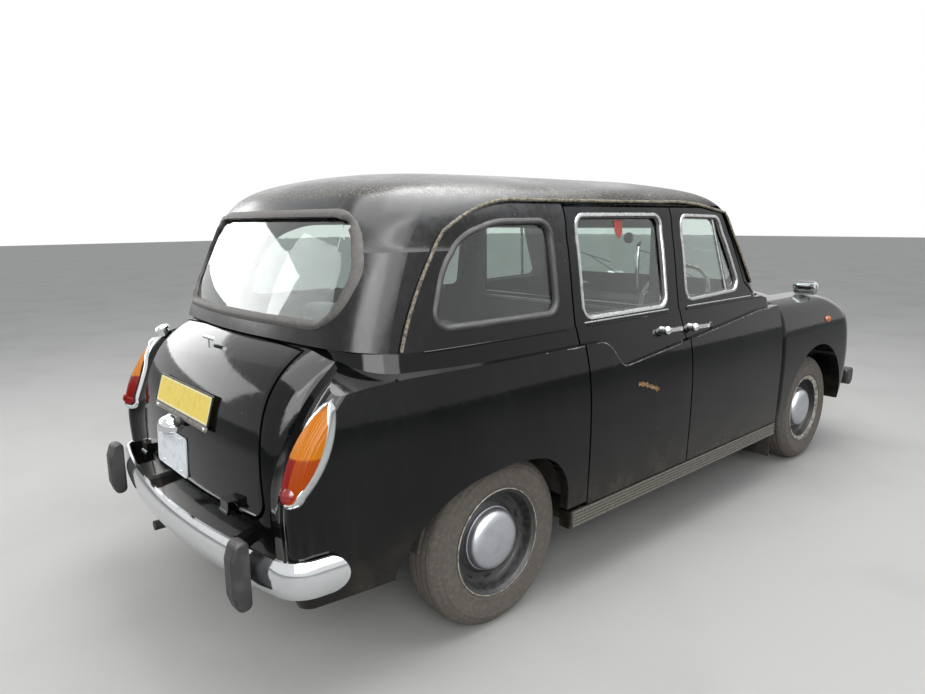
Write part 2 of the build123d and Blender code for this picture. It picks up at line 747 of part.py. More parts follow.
# Nose panel and grille, both following the bow of the nose
def front_prism(points, radius):
    """Front-view outline run along x through the nose."""
    with BuildPart() as prism:
        with BuildSketch(Plane.YZ.offset(1900)) as face:
            with BuildLine():
                Polyline(*points, close=True)
            make_face()
            fillet(face.vertices(), radius)
        extrude(amount=500)
    return prism.part


def nose_skin(outward, inward):
    """Layer of the nose between two offsets from its surface."""
    return cut(body_volume(NOSE_LOW, -outward), body_volume(NOSE_LOW, inward))


def bonnet_shadow(grow):
    """Space that the bonnet fills, run on past its front edge."""
    with BuildPart() as volume:
        for x, half, z_edge, z_crown in BONNET[-2:]:
            with BuildSketch(Plane.YZ.offset(x + (grow if x == BONNET[-1][0] else 0))):
                with BuildLine():
                    h = half + grow
                    z_low = z_edge - BONNET_FLANGE - grow - SHADOW_DROP
                    Polyline((h, z_low), (h, SHADOW_TOP_Z), (-h, SHADOW_TOP_Z), (-h, z_low))
                    ThreePointArc((-h, z_low), (0, z_crown - BONNET_WALL - grow), (h, z_low))
                make_face()
        loft()
    return volume.part


GRILLE_HOLE = [(-278, 520), (278, 520), (318, 822), (-318, 822)]
GRILLE_FRAME = [(-306, 494), (306, 494), (350, 850), (-350, 850)]
GRILLE_BARS = 23
GRILLE_PITCH = 26
BAR_WIDTH = 9
NOSE_BOTTOM_Z = 430
NOSE_TOP_Z = 990
BONNET_GAP = 7
IRON_Z = (420, 470)
nose_block = box(2000, 2400, -BAY_HALF + 1, BAY_HALF - 1, NOSE_BOTTOM_Z, NOSE_TOP_Z)
nose = common(cut(front_outer, front_inner), nose_block)
nose = cut(nose, front_prism(GRILLE_HOLE, 40), bonnet_shadow(BONNET_GAP))
for y_sign in (-1, 1):
    nose = cut(nose, side_box(2000, 2400, y_sign, 376, BAY_HALF, NOSE_BOTTOM_Z - 10, IRON_Z[1] + 4))
keep(nose, "nose_panel")
frame_inside = [(y * 0.92, 685 + (z - 685) * 0.88) for y, z in GRILLE_HOLE]
ring = cut(front_prism(GRILLE_FRAME, 60), front_prism(frame_inside, 34))
GRILLE_X = 2208
with BuildPart() as bars:
    for i in range(GRILLE_BARS):
        y = (i - (GRILLE_BARS - 1) / 2) * GRILLE_PITCH
        x = GRILLE_X - y * y / (2 * NOSE_LOW[2][-1])
        with BuildSketch(Plane.XY.offset(515)):
            with Locations((x, y)):
                Rectangle(8, BAR_WIDTH)
        extrude(amount=312)
keep(join(common(nose_skin(16, -1), ring), common(bars.part, front_prism(GRILLE_HOLE, 40))), "grille")


# Bumpers
BLADE_R = 3400
BLADE_HALF_Y = 740
WRAP_R = 130
WRAP_END = 84
BLADE_BACK = -6
BLADE_EDGE = 4
BLADE_BULGE = 22
WRAP_RUN = 103
END_ROUND = 2
END_TRIM = 6


def bumper(end_x, z_mid, half_height, wrapped):
    """Blade of thin D-shaped section swept along its crest; the rear one wraps round the wings."""
    s = 1 if end_x < 0 else -1
    turn = math.asin(BLADE_HALF_Y / BLADE_R)
    wrap_end = math.radians(WRAP_END)
    joint_x = end_x + s * BLADE_R * (1 - math.cos(turn))
    bend_x = joint_x + s * WRAP_R * math.cos(turn)
    bend_y = BLADE_HALF_Y - WRAP_R * math.sin(turn)

    def on_bend(angle, y_sign):
        return (bend_x - s * WRAP_R * math.cos(angle), y_sign * (bend_y + WRAP_R * math.sin(angle)), z_mid)

    tips = []
    with BuildLine() as crest:
        if wrapped:
            for y_sign in (-1, 1):
                end = on_bend(wrap_end, y_sign)
                tips.append((end[0] + s * WRAP_RUN * math.sin(wrap_end),
                             end[1] + y_sign * WRAP_RUN * math.cos(wrap_end), z_mid))
                Line(tips[-1], end)
                joint = (joint_x, y_sign * BLADE_HALF_Y, z_mid)
                ThreePointArc(end, on_bend((turn + wrap_end) / 2, y_sign), joint)
        ThreePointArc((joint_x, -BLADE_HALF_Y, z_mid), (end_x, 0, z_mid), (joint_x, BLADE_HALF_Y, z_mid))
    path = Wire(crest.line.edges())
    lean = wrap_end if wrapped else turn
    outward = (-s * math.cos(lean), math.copysign(math.sin(lean), (path @ 0).Y), 0)
    with BuildPart() as blade:
        with BuildSketch(Plane(origin=path @ 0, x_dir=outward, z_dir=path % 0)):
            with BuildLine():
                reach = BLADE_EDGE - BLADE_BULGE
                back = BLADE_BACK - BLADE_BULGE
                Polyline((reach, half_height), (back, half_height),
                         (back, -half_height), (reach, -half_height))
                ThreePointArc((reach, -half_height), (0, 0), (reach, half_height))
            make_face()
        sweep(path=path)
    made = blade.part
    for tip in tips:
        round_r = half_height + END_ROUND
        round_x = tip[0] - s * (round_r + END_TRIM)
        beyond = box(*sorted((round_x, tip[0] + s * 40)), *span(math.copysign(1, tip[1])),
                     z_mid - half_height - 10, z_mid + half_height + 10)
        made = cut(made, cut(beyond, y_cylinder(round_x, z_mid, round_r, -FAR, FAR)))
    return made


REAR_BUMPER_Z = 500
FRONT_BUMPER_Z = 450
IRON_INSET = 51
rear_bumper = bumper(REAR_END_X + 8, REAR_BUMPER_Z, 60, True)
front_bumper = bumper(FRONT_END_X - 8, FRONT_BUMPER_Z, 52, False)
for y_sign in (-1, 1):
    rear_bumper = join(rear_bumper, side_box(REAR_END_X + IRON_INSET, -2031, y_sign, 380, 420, 455, 500))
    front_bumper = join(front_bumper, side_box(2111, FRONT_END_X - IRON_INSET, y_sign, 380, 420, *IRON_Z))
keep(rear_bumper, "rear_bumper")
keep(front_bumper, "front_bumper")


def rounded_block(outline, y_sign, y_in, y_out, radius):
    """Moulded rubber block: a side-view outline with rounded rims."""
    low, high = sorted((y_sign * y_in, y_sign * y_out))
    with BuildPart() as block:
        with BuildSketch(Plane.XZ.offset(-high)) as face:
            with BuildLine():
                Polyline(*outline, close=True)
            make_face()
            fillet(face.vertices(), 22)
        extrude(amount=high - low)
        fillet(block.faces().filter_by(Axis.Y).edges(), radius)
    return block.part


REAR_BLOCK = [(REAR_END_X + 62, 612), (REAR_END_X + 18, 616), (REAR_END_X, 560), (REAR_END_X, 440),
              (REAR_END_X + 18, 384), (REAR_END_X + 62, 388)]
FRONT_BLOCK = [(FRONT_END_X - 130, 505), (FRONT_END_X, 500), (FRONT_END_X - 4, 410), (FRONT_END_X - 40, 375),
               (FRONT_END_X - 100, 400)]
overriders = []
for y_sign in (-1, 1):
    overriders.append(cut(rounded_block(REAR_BLOCK, y_sign, 604, 668, 12), rear_bumper))
    overriders.append(cut(rounded_block(FRONT_BLOCK, y_sign, 706, 812, 16), front_bumper))
keep_all(overriders, "overriders")

# Chassis frame: side rails kicked up over the rear axle, cross members, outriggers and jack pads
RAIL_SIDE = [(-2030, 425), (-1130, 425), (-960, 205), (2110, 205), (2110, 305), (-925, 305), (-1095, 520),
             (-2030, 520)]
RAIL_HALF = 30
CROSS_X = (-1990, -800, 300, 2060)
OUTRIGGER_X = (-720, 600)
frame_part = join(
    side_prism(RAIL_SIDE, -RAIL_Y - RAIL_HALF, -RAIL_Y + RAIL_HALF),
    side_prism(RAIL_SIDE, RAIL_Y - RAIL_HALF, RAIL_Y + RAIL_HALF),
)
for x in CROSS_X:
    z0 = 430 if x < -1000 else 215
    frame_part = join(frame_part, box(x - 40, x + 40, -380, 380, z0, z0 + 85))
for side, y_sign in SIDES:
    for x in OUTRIGGER_X:
        frame_part = join(frame_part, side_box(x - 30, x + 30, y_sign, 420, 784, 250, 300))
    for x in JACK_PAD_X:
        pad = side_box(x - 45, x + 45, y_sign, RAIL_Y - 25, RAIL_Y + 25, JACK_PAD_Z, 206)
        frame_part = join(frame_part, pad)
frame_part = cut(frame_part, x_cylinder(-900, 500, 0, SHAFT_Z, 46))
keep(frame_part, "chassis_frame")

# Rear axle with differential, drums and leaf springs
DRUM_IN_Y = 632
DRUM_OUT_Y = 700
with BuildPart() as differential:
    with Locations((REAR_AXLE_X, 0, HUB_Z)):
        Sphere(120)
axle = join(y_cylinder(REAR_AXLE_X, HUB_Z, 38, -DRUM_OUT_Y, DRUM_OUT_Y), differential.part)
for side, y_sign in SIDES:
    with BuildPart() as leaf:
        with BuildSketch(Plane.XZ.offset(-(y_sign * RAIL_Y + 25))):
            with BuildLine():
                ThreePointArc((REAR_AXLE_X - 560, 424), (REAR_AXLE_X, 285), (REAR_AXLE_X + 350, 345))
                Line((REAR_AXLE_X + 350, 345), (REAR_AXLE_X + 350, 377))
                ThreePointArc((REAR_AXLE_X + 350, 377), (REAR_AXLE_X, 320), (REAR_AXLE_X - 530, 424))
                Line((REAR_AXLE_X - 530, 424), (REAR_AXLE_X - 560, 424))
            make_face()
        extrude(amount=50)
    drum = y_cylinder(REAR_AXLE_X, HUB_Z, DRUM_R + 7, y_sign * DRUM_IN_Y, y_sign * DRUM_OUT_Y)
    axle = join(axle, drum, leaf.part)
keep(cut(axle, frame_part), "rear_axle")

# Front suspension: cross beam, towers and wishbones, with a knuckle at each end
suspension = box(FRONT_AXLE_X - 80, FRONT_AXLE_X + 80, -368, 368, 190, 290)
ARM_END_Y = 645
for side, y_sign in SIDES:
    suspension = join(
        suspension,
        side_box(FRONT_AXLE_X - 28, FRONT_AXLE_X + 28, y_sign, 300, ARM_END_Y, 184, 200),
        side_box(FRONT_AXLE_X - 28, FRONT_AXLE_X + 28, y_sign, 300, ARM_END_Y, 470, 490),
        side_box(FRONT_AXLE_X - 60, FRONT_AXLE_X + 60, y_sign, 300, 362, 280, 490),
    )
keep(suspension, "front_suspension")
for side, y_sign in SIDES:
    with BuildPart() as kingpin:
        with BuildSketch(Plane.XY.offset(206)):
            with Locations((FRONT_AXLE_X, y_sign * KINGPIN_Y)):
                Circle(20)
        extrude(amount=258)
    knuckle = join(
        kingpin.part,
        y_cylinder(FRONT_AXLE_X, HUB_Z, 24, y_sign * KINGPIN_Y, y_sign * 705),
        y_cylinder(FRONT_AXLE_X, HUB_Z, DRUM_R, y_sign * 655, y_sign * 698),
    )
    keep(knuckle, f"knuckle_{side}")

# Wheels and tyres, as half sections: radius, offset outwards from the middle of the tyre
WHEELS = {
    "front_right": (FRONT_AXLE_X, -1),
    "front_left": (FRONT_AXLE_X, 1),
    "rear_right": (REAR_AXLE_X, -1),
    "rear_left": (REAR_AXLE_X, 1),
}
TYRE_PROFILE = [(RIM_RADIUS + 1, -70), (280, -84), (TYRE_RADIUS, -56), (TYRE_RADIUS, 56), (280, 84),
                (RIM_RADIUS + 1, 70)]
WHEEL_PROFILE = [(0, 72), (70, 67), (118, 48), (138, 24), (138, 8), (150, 4), (188, 16), (197, 34), (199, 62),
                 (RIM_RADIUS - 2, 72), (RIM_RADIUS, 66), (RIM_RADIUS, -66), (RIM_RADIUS - 8, -66),
                 (194, 4), (150, -8), (115, 0), (0, 0)]


def spun(profile, x, y_sign):
    """Solid of revolution about a wheel's axle."""
    centre = Plane(origin=(x, y_sign * TRACK / 2, HUB_Z), x_dir=(1, 0, 0), z_dir=(0, 0, 1))
    with BuildPart() as ring:
        with BuildSketch(centre):
            with BuildLine():
                Polyline(*[(r, y_sign * w) for r, w in profile], close=True)
            make_face()
        revolve(axis=Axis((x, 0, HUB_Z), (0, 1, 0)), revolution_arc=360)
    return ring.part


for place, (x, y_sign) in WHEELS.items():
    keep(spun(TYRE_PROFILE, x, y_sign), f"tyre_{place}")
    keep(spun(WHEEL_PROFILE, x, y_sign), f"wheel_{place}")

# Engine, driveline, exhaust and fuel tank
keep(box(1180, 1830, -190, 190, 300, 860), "engine")
radiator = join(box(2042, 2082, -250, 250, 300, 800), box(2034, 2090, -262, 262, 800, 858),
                box(2034, 2090, -262, 262, 300, 340))
keep(radiator, "radiator")
gearbox = box(700, 1178, -110, 110, 215, 300)
keep(join(gearbox, x_cylinder(-1165, 700, 0, SHAFT_Z, 32)), "driveline")
pipe = x_cylinder(-2150, -590, EXHAUST_Y, EXHAUST_Z, 22)
keep(join(pipe, x_cylinder(-600, -150, EXHAUST_Y, EXHAUST_Z, 50)), "exhaust")
keep(box(-1980, -1700, -350, 350, 300, 424), "fuel_tank")

# Partition with its two glazed openings
with BuildPart() as upper_partition:
    with BuildSketch(Plane.YZ.offset(PARTITION_X - 14)):
        with BuildLine():
            Polyline((-690, 1080), (690, 1080), (632, 1590), (-632, 1590), close=True)
        make_face()
    extrude(amount=28)
partition = join(box(PARTITION_X - 18, PARTITION_X + 18, -700, 700, FLOOR_Z, 1080), upper_partition.part)
for y_sign in (-1, 1):
    partition = cut(partition, side_box(PARTITION_X - 30, PARTITION_X + 30, y_sign, 30, 600, 1130, 1520))
keep(partition, "partition")


# Seats
def cushion(outline, y_low, y_high, radius):
    """Padded block with a rounded side view."""
    return rounded_window(outline, radius, y_low, y_high)


BENCH_TOP_Z = 760
SEAT_Z = BOOT_FLOOR_Z + 1
bench_side = [(-1200, SEAT_Z), (-712, SEAT_Z), (-700, BENCH_TOP_Z), (-1200, BENCH_TOP_Z - 25)]
bench = cushion(bench_side, -560, 560, 28)
bench_back = cushion([(-1340, SEAT_Z), (-1180, SEAT_Z), (-1235, 1170), (-1350, 1180)], -560, 560, 28)
keep(join(bench, bench_back), "rear_seat")
driver_cushion = cushion([(90, FLOOR_Z + 1), (545, FLOOR_Z + 1), (560, 660), (90, 620)], -640, -160, 28)
driver_back = cushion([(10, FLOOR_Z + 1), (130, FLOOR_Z + 1), (100, 1070), (10, 1080)], -640, -160, 28)
keep(join(driver_cushion, driver_back), "driver_seat")
SEAT_BACK_X = PARTITION_X - 19
folded_seat = [(PARTITION_X - 98, 560), (SEAT_BACK_X, 560), (SEAT_BACK_X, 940), (PARTITION_X - 98, 940)]
tip_seats = [cushion(folded_seat, *sorted((y_sign * 170, y_sign * 560)), 24) for y_sign in (-1, 1)]
keep_all(tip_seats, "tip_up_seats")

# Dashboard with its steering column, and the steering wheel square to the column
COLUMN_DIR = (0.8, 0, -0.6)
COLUMN_LENGTH = 400
HUB_GAP = 10
column_foot = (STEERING_X + HUB_GAP * COLUMN_DIR[0], STEERING_Y, STEERING_Z + HUB_GAP * COLUMN_DIR[2])
with BuildPart() as column:
    with BuildSketch(Plane(origin=column_foot, x_dir=(0, 1, 0), z_dir=COLUMN_DIR)):
        Circle(20)
    extrude(amount=COLUMN_LENGTH)
dash = rounded_window([(735, 900), (923, 880), (923, 1080), (790, 1080), (735, 1040)], 20, -690, 690)
keep(join(dash, column.part), "dashboard")
STEERING_CENTRE = (STEERING_X, STEERING_Y, STEERING_Z)
STEERING_PLANE = Plane(origin=STEERING_CENTRE, x_dir=(0, 1, 0), z_dir=COLUMN_DIR)
STEERING_RIM_R = 203
with BuildPart() as steering_wheel:
    with BuildSketch(Plane(origin=STEERING_CENTRE, x_dir=(0, 1, 0), z_dir=(0.6, 0, 0.8))):
        with Locations((STEERING_RIM_R, 0)):
            Circle(12)
    revolve(axis=Axis(STEERING_CENTRE, COLUMN_DIR), revolution_arc=360)
    with BuildSketch(STEERING_PLANE):
        Rectangle(400, 20)
        Circle(42)
    extrude(amount=6, both=True)
    with BuildSketch(STEERING_PLANE):
        Circle(42)
    extrude(amount=-18)
keep(steering_wheel.part, "steering_wheel")

# Headlamps: domed glass in a rim
GLASS_R = 92
GLASS_DOME = 20
dome_r = (GLASS_R**2 + GLASS_DOME**2) / (2 * GLASS_DOME)
dome_mid = 50
dome_x = LAMP_X + 38 - dome_r + math.sqrt(dome_r**2 - dome_mid**2)
lamps = []
for side, y_sign in SIDES:
    with BuildPart() as lamp:
        with BuildSketch(Plane.XY.offset(LAMP_Z)):
            with BuildLine():
                y = y_sign * LAMP_Y
                out = y_sign
                Polyline((LAMP_X + 1, y), (LAMP_X + 1, y + out * 104), (LAMP_X + 16, y + out * 104),
                         (LAMP_X + 18, y + out * 92))
                ThreePointArc((LAMP_X + 18, y + out * 92), (dome_x, y + out * dome_mid), (LAMP_X + 38, y))
                Line((LAMP_X + 38, y), (LAMP_X + 1, y))
            make_face()
        revolve(axis=Axis((0, y_sign * LAMP_Y, LAMP_Z), (1, 0, 0)), revolution_arc=360)
    lamps.append(lamp.part)
keep_all(lamps, "headlamps")

# Tail lamps: tall almond lenses that follow the wing tips
LENS_TOP = (-2006, 790, 1030)
LENS_BOTTOM = (-2150, 768, 740)
lens_skin = body_volume(WING_SKIN, -LENS_DEPTH, face=wing_face)
tails = []
for side, y_sign in SIDES:
    top = Vector(LENS_TOP[0], y_sign * LENS_TOP[1], LENS_TOP[2])
    bottom = Vector(LENS_BOTTOM[0], y_sign * LENS_BOTTOM[1], LENS_BOTTOM[2])
    along = (top - bottom).normalized()
    facing = Vector(-0.8, y_sign * 0.6, 0)
    facing = (facing - along * facing.dot(along)).normalized()
    with BuildPart() as almond:
        with BuildSketch(Plane(origin=(top + bottom) / 2, x_dir=along, z_dir=facing)):
            with BuildLine():
                ThreePointArc((164, 0), (30, 43), (-126, 31))
                ThreePointArc((-126, 31), (-164, 0), (-126, -31))
                ThreePointArc((-126, -31), (30, -43), (164, 0))
            make_face()
        extrude(amount=120, both=True)
    tails.append(cut(common(lens_skin, almond.part), lower_outer))
keep_all(tails, "tail_lamps")

# Wing mirrors: rounded heads on short stalks
MIRROR_X = 1526
MIRROR_Y = 735
mirrors = []
for side, y_sign in SIDES:
    with BuildPart() as head:
        with BuildSketch(Plane.YZ.offset(MIRROR_X - 16)):
            with Locations((y_sign * MIRROR_Y, 1122)):
                RectangleRounded(150, 84, 30)
        extrude(amount=30)
        fillet(head.faces().sort_by(Axis.X)[-1].edges(), 12)
    with BuildPart() as stalk:
        with BuildSketch(Plane.XY.offset(1000)):
            with Locations((MIRROR_X, y_sign * MIRROR_Y)):
                Circle(8)
        extrude(amount=100)
    mirrors.append(cut(join(head.part, stalk.part), front_outer))
keep_all(mirrors, "mirrors")

# T-shaped lid handle on a short stem
stem = box(-2052, -2036, -9, 9, 1080, 1136)
grip = y_cylinder(-2046, 1136, 9, -52, 52)
keep(cut(join(stem, grip), lower_outer), "boot_handle")
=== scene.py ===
"""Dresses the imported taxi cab: paint, chrome, rubber, glass, lamps, wheels, seats and a studio."""
from __future__ import annotations

import json
import logging
import math
from contextlib import contextmanager
from dataclasses import dataclass
from enum import Enum
from typing import Callable, Iterator, Sequence

import bmesh
import bpy
from mathutils import Matrix, Vector
from mathutils.bvhtree import BVHTree


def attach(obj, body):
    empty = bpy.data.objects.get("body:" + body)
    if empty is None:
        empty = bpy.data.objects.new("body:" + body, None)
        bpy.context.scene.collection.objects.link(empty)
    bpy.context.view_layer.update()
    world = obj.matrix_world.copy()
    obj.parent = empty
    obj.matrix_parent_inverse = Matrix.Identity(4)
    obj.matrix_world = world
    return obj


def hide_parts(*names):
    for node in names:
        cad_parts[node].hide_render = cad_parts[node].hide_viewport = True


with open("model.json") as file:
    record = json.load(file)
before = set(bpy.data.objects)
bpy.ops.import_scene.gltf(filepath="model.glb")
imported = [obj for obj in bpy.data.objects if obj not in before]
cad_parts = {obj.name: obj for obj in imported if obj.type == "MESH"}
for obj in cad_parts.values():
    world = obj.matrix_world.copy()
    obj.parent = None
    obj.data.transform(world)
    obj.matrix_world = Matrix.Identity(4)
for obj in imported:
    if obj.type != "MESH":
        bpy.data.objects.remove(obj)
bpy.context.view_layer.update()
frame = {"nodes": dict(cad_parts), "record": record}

LOG = logging.getLogger("cab")
MM = 0.001
SIDES = (("right", -1), ("left", 1))
X, Y, Z = Vector((1, 0, 0)), Vector((0, 1, 0)), Vector((0, 0, 1))
LID = "boot_lid_body"
Flat = tuple[float, float]
Spot = tuple[float, float, float]
Line = Sequence[Flat]
Tree = bpy.types.NodeTree
Socket = bpy.types.NodeSocket
Piece = bpy.types.Object


# Node helpers
def linear(code: str) -> tuple[float, float, float, float]:
    """Turn an sRGB hex colour into linear red, green, blue and alpha.

    Args:
        code: six hex digits with a leading hash.
    Returns:
        Four linear values for a shader socket.
    """
    channels = [int(code[i:i + 2], 16) / 255 for i in (1, 3, 5)]
    values = [c / 12.92 if c <= 0.04045 else ((c + 0.055) / 1.055) ** 2.4 for c in channels]
    return (values[0], values[1], values[2], 1.0)


def add_node(tree: Tree, kind: str, values: dict | None = None, links: dict | None = None,
             **attributes: object) -> bpy.types.Node:
    """Add a shader node with its settings and links.

    Args:
        tree: the node tree that gets the node.
        kind: the node's type name without the ShaderNode start.
        values: constants by input name or number.
        links: output sockets by input name or number.
        attributes: settings of the node itself.
    Returns:
        The new node.
    """
    node = tree.nodes.new("ShaderNode" + kind)
    for key, value in attributes.items():
        setattr(node, key, value)
    for key, value in (values or {}).items():
        node.inputs[key].default_value = value
    for key, socket in (links or {}).items():
        tree.links.new(socket, node.inputs[key])
    return node


def noise(tree: Tree, where: Socket, size_mm: float, detail: float = 4.0,
          stretch: Sequence[float] = (1.0, 1.0, 1.0)) -> Socket:
    """Cloudy noise whose blotches are about size_mm wide.

    Args:
        tree: the node tree.
        where: the coordinates to read.
        size_mm: width of a blotch.
        detail: number of finer layers.
        stretch: scale along each axis, for streaks.
    Returns:
        The grey output, about 0.3 to 0.7.
    """
    turned = add_node(tree, "Mapping", {"Scale": tuple(stretch)}, {"Vector": where})
    grain = add_node(tree, "TexNoise", {"Scale": 1.0 / (size_mm * MM), "Detail": detail},
                     {"Vector": turned.outputs[0]})
    return grain.outputs[0]


def ramp(tree: Tree, source: Socket, low: float, high: float,
         low_to: float = 0.0, high_to: float = 1.0) -> Socket:
    """Map a value between low and high smoothly onto low_to and high_to.

    Args:
        tree: the node tree.
        source: the value to map.
        low: value that gives low_to.
        high: value that gives high_to.
        low_to: least result.
        high_to: greatest result.
    Returns:
        The mapped value's socket.
    """
    node = add_node(tree, "MapRange", {1: low, 2: high, 3: low_to, 4: high_to}, {0: source},
                    interpolation_type="SMOOTHSTEP")
    return node.outputs[0]


def combine(tree: Tree, operation: str, a: object, b: object) -> Socket:
    """One Math node over two sockets or numbers.

    Args:
        tree: the node tree.
        operation: the Math node's operation.
        a: first socket or value.
        b: second socket or value.
    Returns:
        The result's socket.
    """
    node = add_node(tree, "Math", operation=operation)
    for i, item in enumerate((a, b)):
        if isinstance(item, (int, float)):
            node.inputs[i].default_value = item
        else:
            tree.links.new(item, node.inputs[i])
    return node.outputs[0]


def blended(tree: Tree, factor: Socket, a: object, b: object) -> Socket:
    """Mix two colours, each a hex code or a socket, by a factor.

    Args:
        tree: the node tree.
        factor: share of the second colour.
        a: first socket or value.
        b: second socket or value.
    Returns:
        The mixed colour's socket.
    """
    node = add_node(tree, "Mix", data_type="RGBA", links={0: factor})
    for i, item in ((6, a), (7, b)):
        if isinstance(item, str):
            node.inputs[i].default_value = linear(item)
        else:
            tree.links.new(item, node.inputs[i])
    return node.outputs[2]


# Finishes
@dataclass(frozen=True)
class Finish:
    """One surface finish: base values, a cloudy second colour and a fine bump.

    Sizes of patterns are real, in millimetres.
    """
    name: str
    slot: str
    colour: str
    second: str
    roughness: float
    rough_spread: float = 0.08
    blotch_mm: float = 60.0
    blotch_low: float = 0.45
    blotch_high: float = 0.7
    metallic: float = 0.0
    bump_mm: float = 2.0
    bump_depth_mm: float = 0.05
    coat: float = 0.0
    specular: float = 0.5
    transmission: float = 0.0
    ior: float = 1.5

    def material(self) -> bpy.types.Material:
        """Build the material once and return it.

        Returns:
            The material.
        """
        found = bpy.data.materials.get(self.name)
        if found:
            return found
        made = bpy.data.materials.new(self.name)
        made.use_nodes = True
        tree = made.node_tree
        shader = tree.nodes["Principled BSDF"]
        shader.inputs["Metallic"].default_value = self.metallic
        shader.inputs["Coat Weight"].default_value = self.coat
        shader.inputs["Specular IOR Level"].default_value = self.specular
        shader.inputs["Transmission Weight"].default_value = self.transmission
        if not self.metallic:
            shader.inputs["IOR"].default_value = self.ior
        where = add_node(tree, "TexCoord").outputs["Object"]
        self.paint(tree, shader, where)
        return made

    def paint(self, tree: Tree, shader: bpy.types.Node, where: Socket) -> None:
        """Link colour, roughness and bump into the shader.

        Args:
            tree: the node tree.
            shader: its Principled shader.
            where: the coordinates to read.
        """
        cloud = noise(tree, where, self.blotch_mm)
        share = ramp(tree, cloud, self.blotch_low, self.blotch_high)
        tree.links.new(blended(tree, share, self.colour, self.second), shader.inputs["Base Color"])
        tree.links.new(ramp(tree, cloud, 0.3, 0.7, self.roughness,
                            self.roughness + self.rough_spread),
                       shader.inputs["Roughness"])
        self.roughen(tree, shader, noise(tree, where, self.bump_mm, 2.0))

    def roughen(self, tree: Tree, shader: bpy.types.Node, height: Socket) -> None:
        """Link a bump of the finish's depth."""
        bump = add_node(tree, "Bump", {"Strength": 1.0, "Distance": self.bump_depth_mm * MM},
                        {"Height": height})
        tree.links.new(bump.outputs[0], shader.inputs["Normal"])


@dataclass(frozen=True)
class CoachPaint(Finish):
    """Sprayed black cellulose that has weathered: haze, dust, streaks and stone chips."""
    haze: str = "#5a5c5f"
    dust: str = "#4a4136"
    haze_from: float = 1.12
    haze_to: float = 1.70
    haze_most: float = 0.34
    dust_top: float = 0.62
    chip: str = "#8d8c86"
    speck_z: float = 1.672
    speck_half: float = 0.038
    speck: str = "#8f8672"
    chips_per_metre: float = 14.0
    dullest: float = 0.85

    def paint(self, tree: Tree, shader: bpy.types.Node, where: Socket) -> None:
        """Layer haze, dust, streaks and chips over the black.

        Args:
            tree: the node tree.
            shader: its Principled shader.
            where: the coordinates to read.
        """
        place = add_node(tree, "SeparateXYZ", links={0: where})
        height = place.outputs[2]
        # Oxidised haze lies in broad clouds and is heaviest on the roof
        cloud = ramp(tree, noise(tree, where, 420.0, 6.0), 0.38, 0.68)
        fine = ramp(tree, noise(tree, where, 26.0, 6.0), 0.35, 0.75, 0.55, 1.0)
        top = ramp(tree, height, self.haze_from, self.haze_to, 0.04, self.haze_most)
        haze = combine(tree, "MULTIPLY", combine(tree, "MULTIPLY", cloud, fine), top)
        # Rain has run dust down the sides in thin upright streaks
        streak = ramp(tree, noise(tree, where, 34.0, 5.0, (1.0, 1.0, 0.07)), 0.52, 0.78)
        streaks = combine(tree, "MULTIPLY", streak, ramp(tree, height, 0.3, 1.15, 0.16, 0.05))
        low = ramp(tree, height, self.dust_top, 0.3)
        splash = combine(tree, "MULTIPLY", low, ramp(tree, noise(tree, where, 90.0, 6.0), 0.3, 0.8,
                                                     0.1, 0.75))
        # Stone chips are a few millimetres wide and pale
        cells = add_node(tree, "TexVoronoi", {"Scale": self.chips_per_metre, "Randomness": 1.0},
                         {"Vector": where})
        spots = ramp(tree, cells.outputs["Distance"], 0.045, 0.02)
        sparse = ramp(tree, noise(tree, where, 300.0, 2.0), 0.56, 0.6)
        chips = combine(tree, "MULTIPLY", spots, sparse)
        colour = blended(tree, haze, self.colour, self.haze)
        colour = blended(tree, combine(tree, "MAXIMUM", streaks, splash), colour, self.dust)
        colour = blended(tree, chips, colour, self.chip)
        # Dust and lichen have settled in a speckled band just above the drip rail
        off = combine(tree, "ABSOLUTE", combine(tree, "SUBTRACT", height, self.speck_z), 0.0)
        specks = combine(tree, "MULTIPLY", ramp(tree, off, self.speck_half, 0.2 * self.speck_half),
                         ramp(tree, noise(tree, where, 7.0, 6.0), 0.5, 0.68, 0.0, 0.75))
        colour = blended(tree, specks, colour, self.speck)
        tree.links.new(colour, shader.inputs["Base Color"])
        dull = combine(tree, "ADD", combine(tree, "MULTIPLY", haze, 0.55),
                       combine(tree, "MULTIPLY", splash, 0.5))
        rough = combine(tree, "ADD", dull, ramp(tree, fine, 0.5, 1.0, self.roughness,
                                                self.roughness + 0.05))
        tree.links.new(combine(tree, "MINIMUM", rough, self.dullest), shader.inputs["Roughness"])
        # Orange peel of the sprayed coat
        self.roughen(tree, shader, noise(tree, where, self.bump_mm, 2.0))


@dataclass(frozen=True)
class Ribbed(Finish):
    """Finish with moulded ribs across one axis, every pitch_mm."""
    axis: int = 1
    pitch_mm: float = 9.0
    rib_depth_mm: float = 0.6

    def paint(self, tree: Tree, shader: bpy.types.Node, where: Socket) -> None:
        """Add the ribs to the cloudy colour.

        Args:
            tree: the node tree.
            shader: its Principled shader.
            where: the coordinates to read.
        """
        super().paint(tree, shader, where)
        place = add_node(tree, "SeparateXYZ", links={0: where}).outputs[self.axis]
        wave = combine(tree, "SINE", combine(tree, "MULTIPLY", place,
                                             2 * math.pi / (self.pitch_mm * MM)), 0.0)
        bump = add_node(tree, "Bump", {"Strength": 1.0, "Distance": self.rib_depth_mm * MM},
                        {"Height": combine(tree, "MULTIPLY", wave, 0.5)})
        tree.links.new(bump.outputs[0], shader.inputs["Normal"])


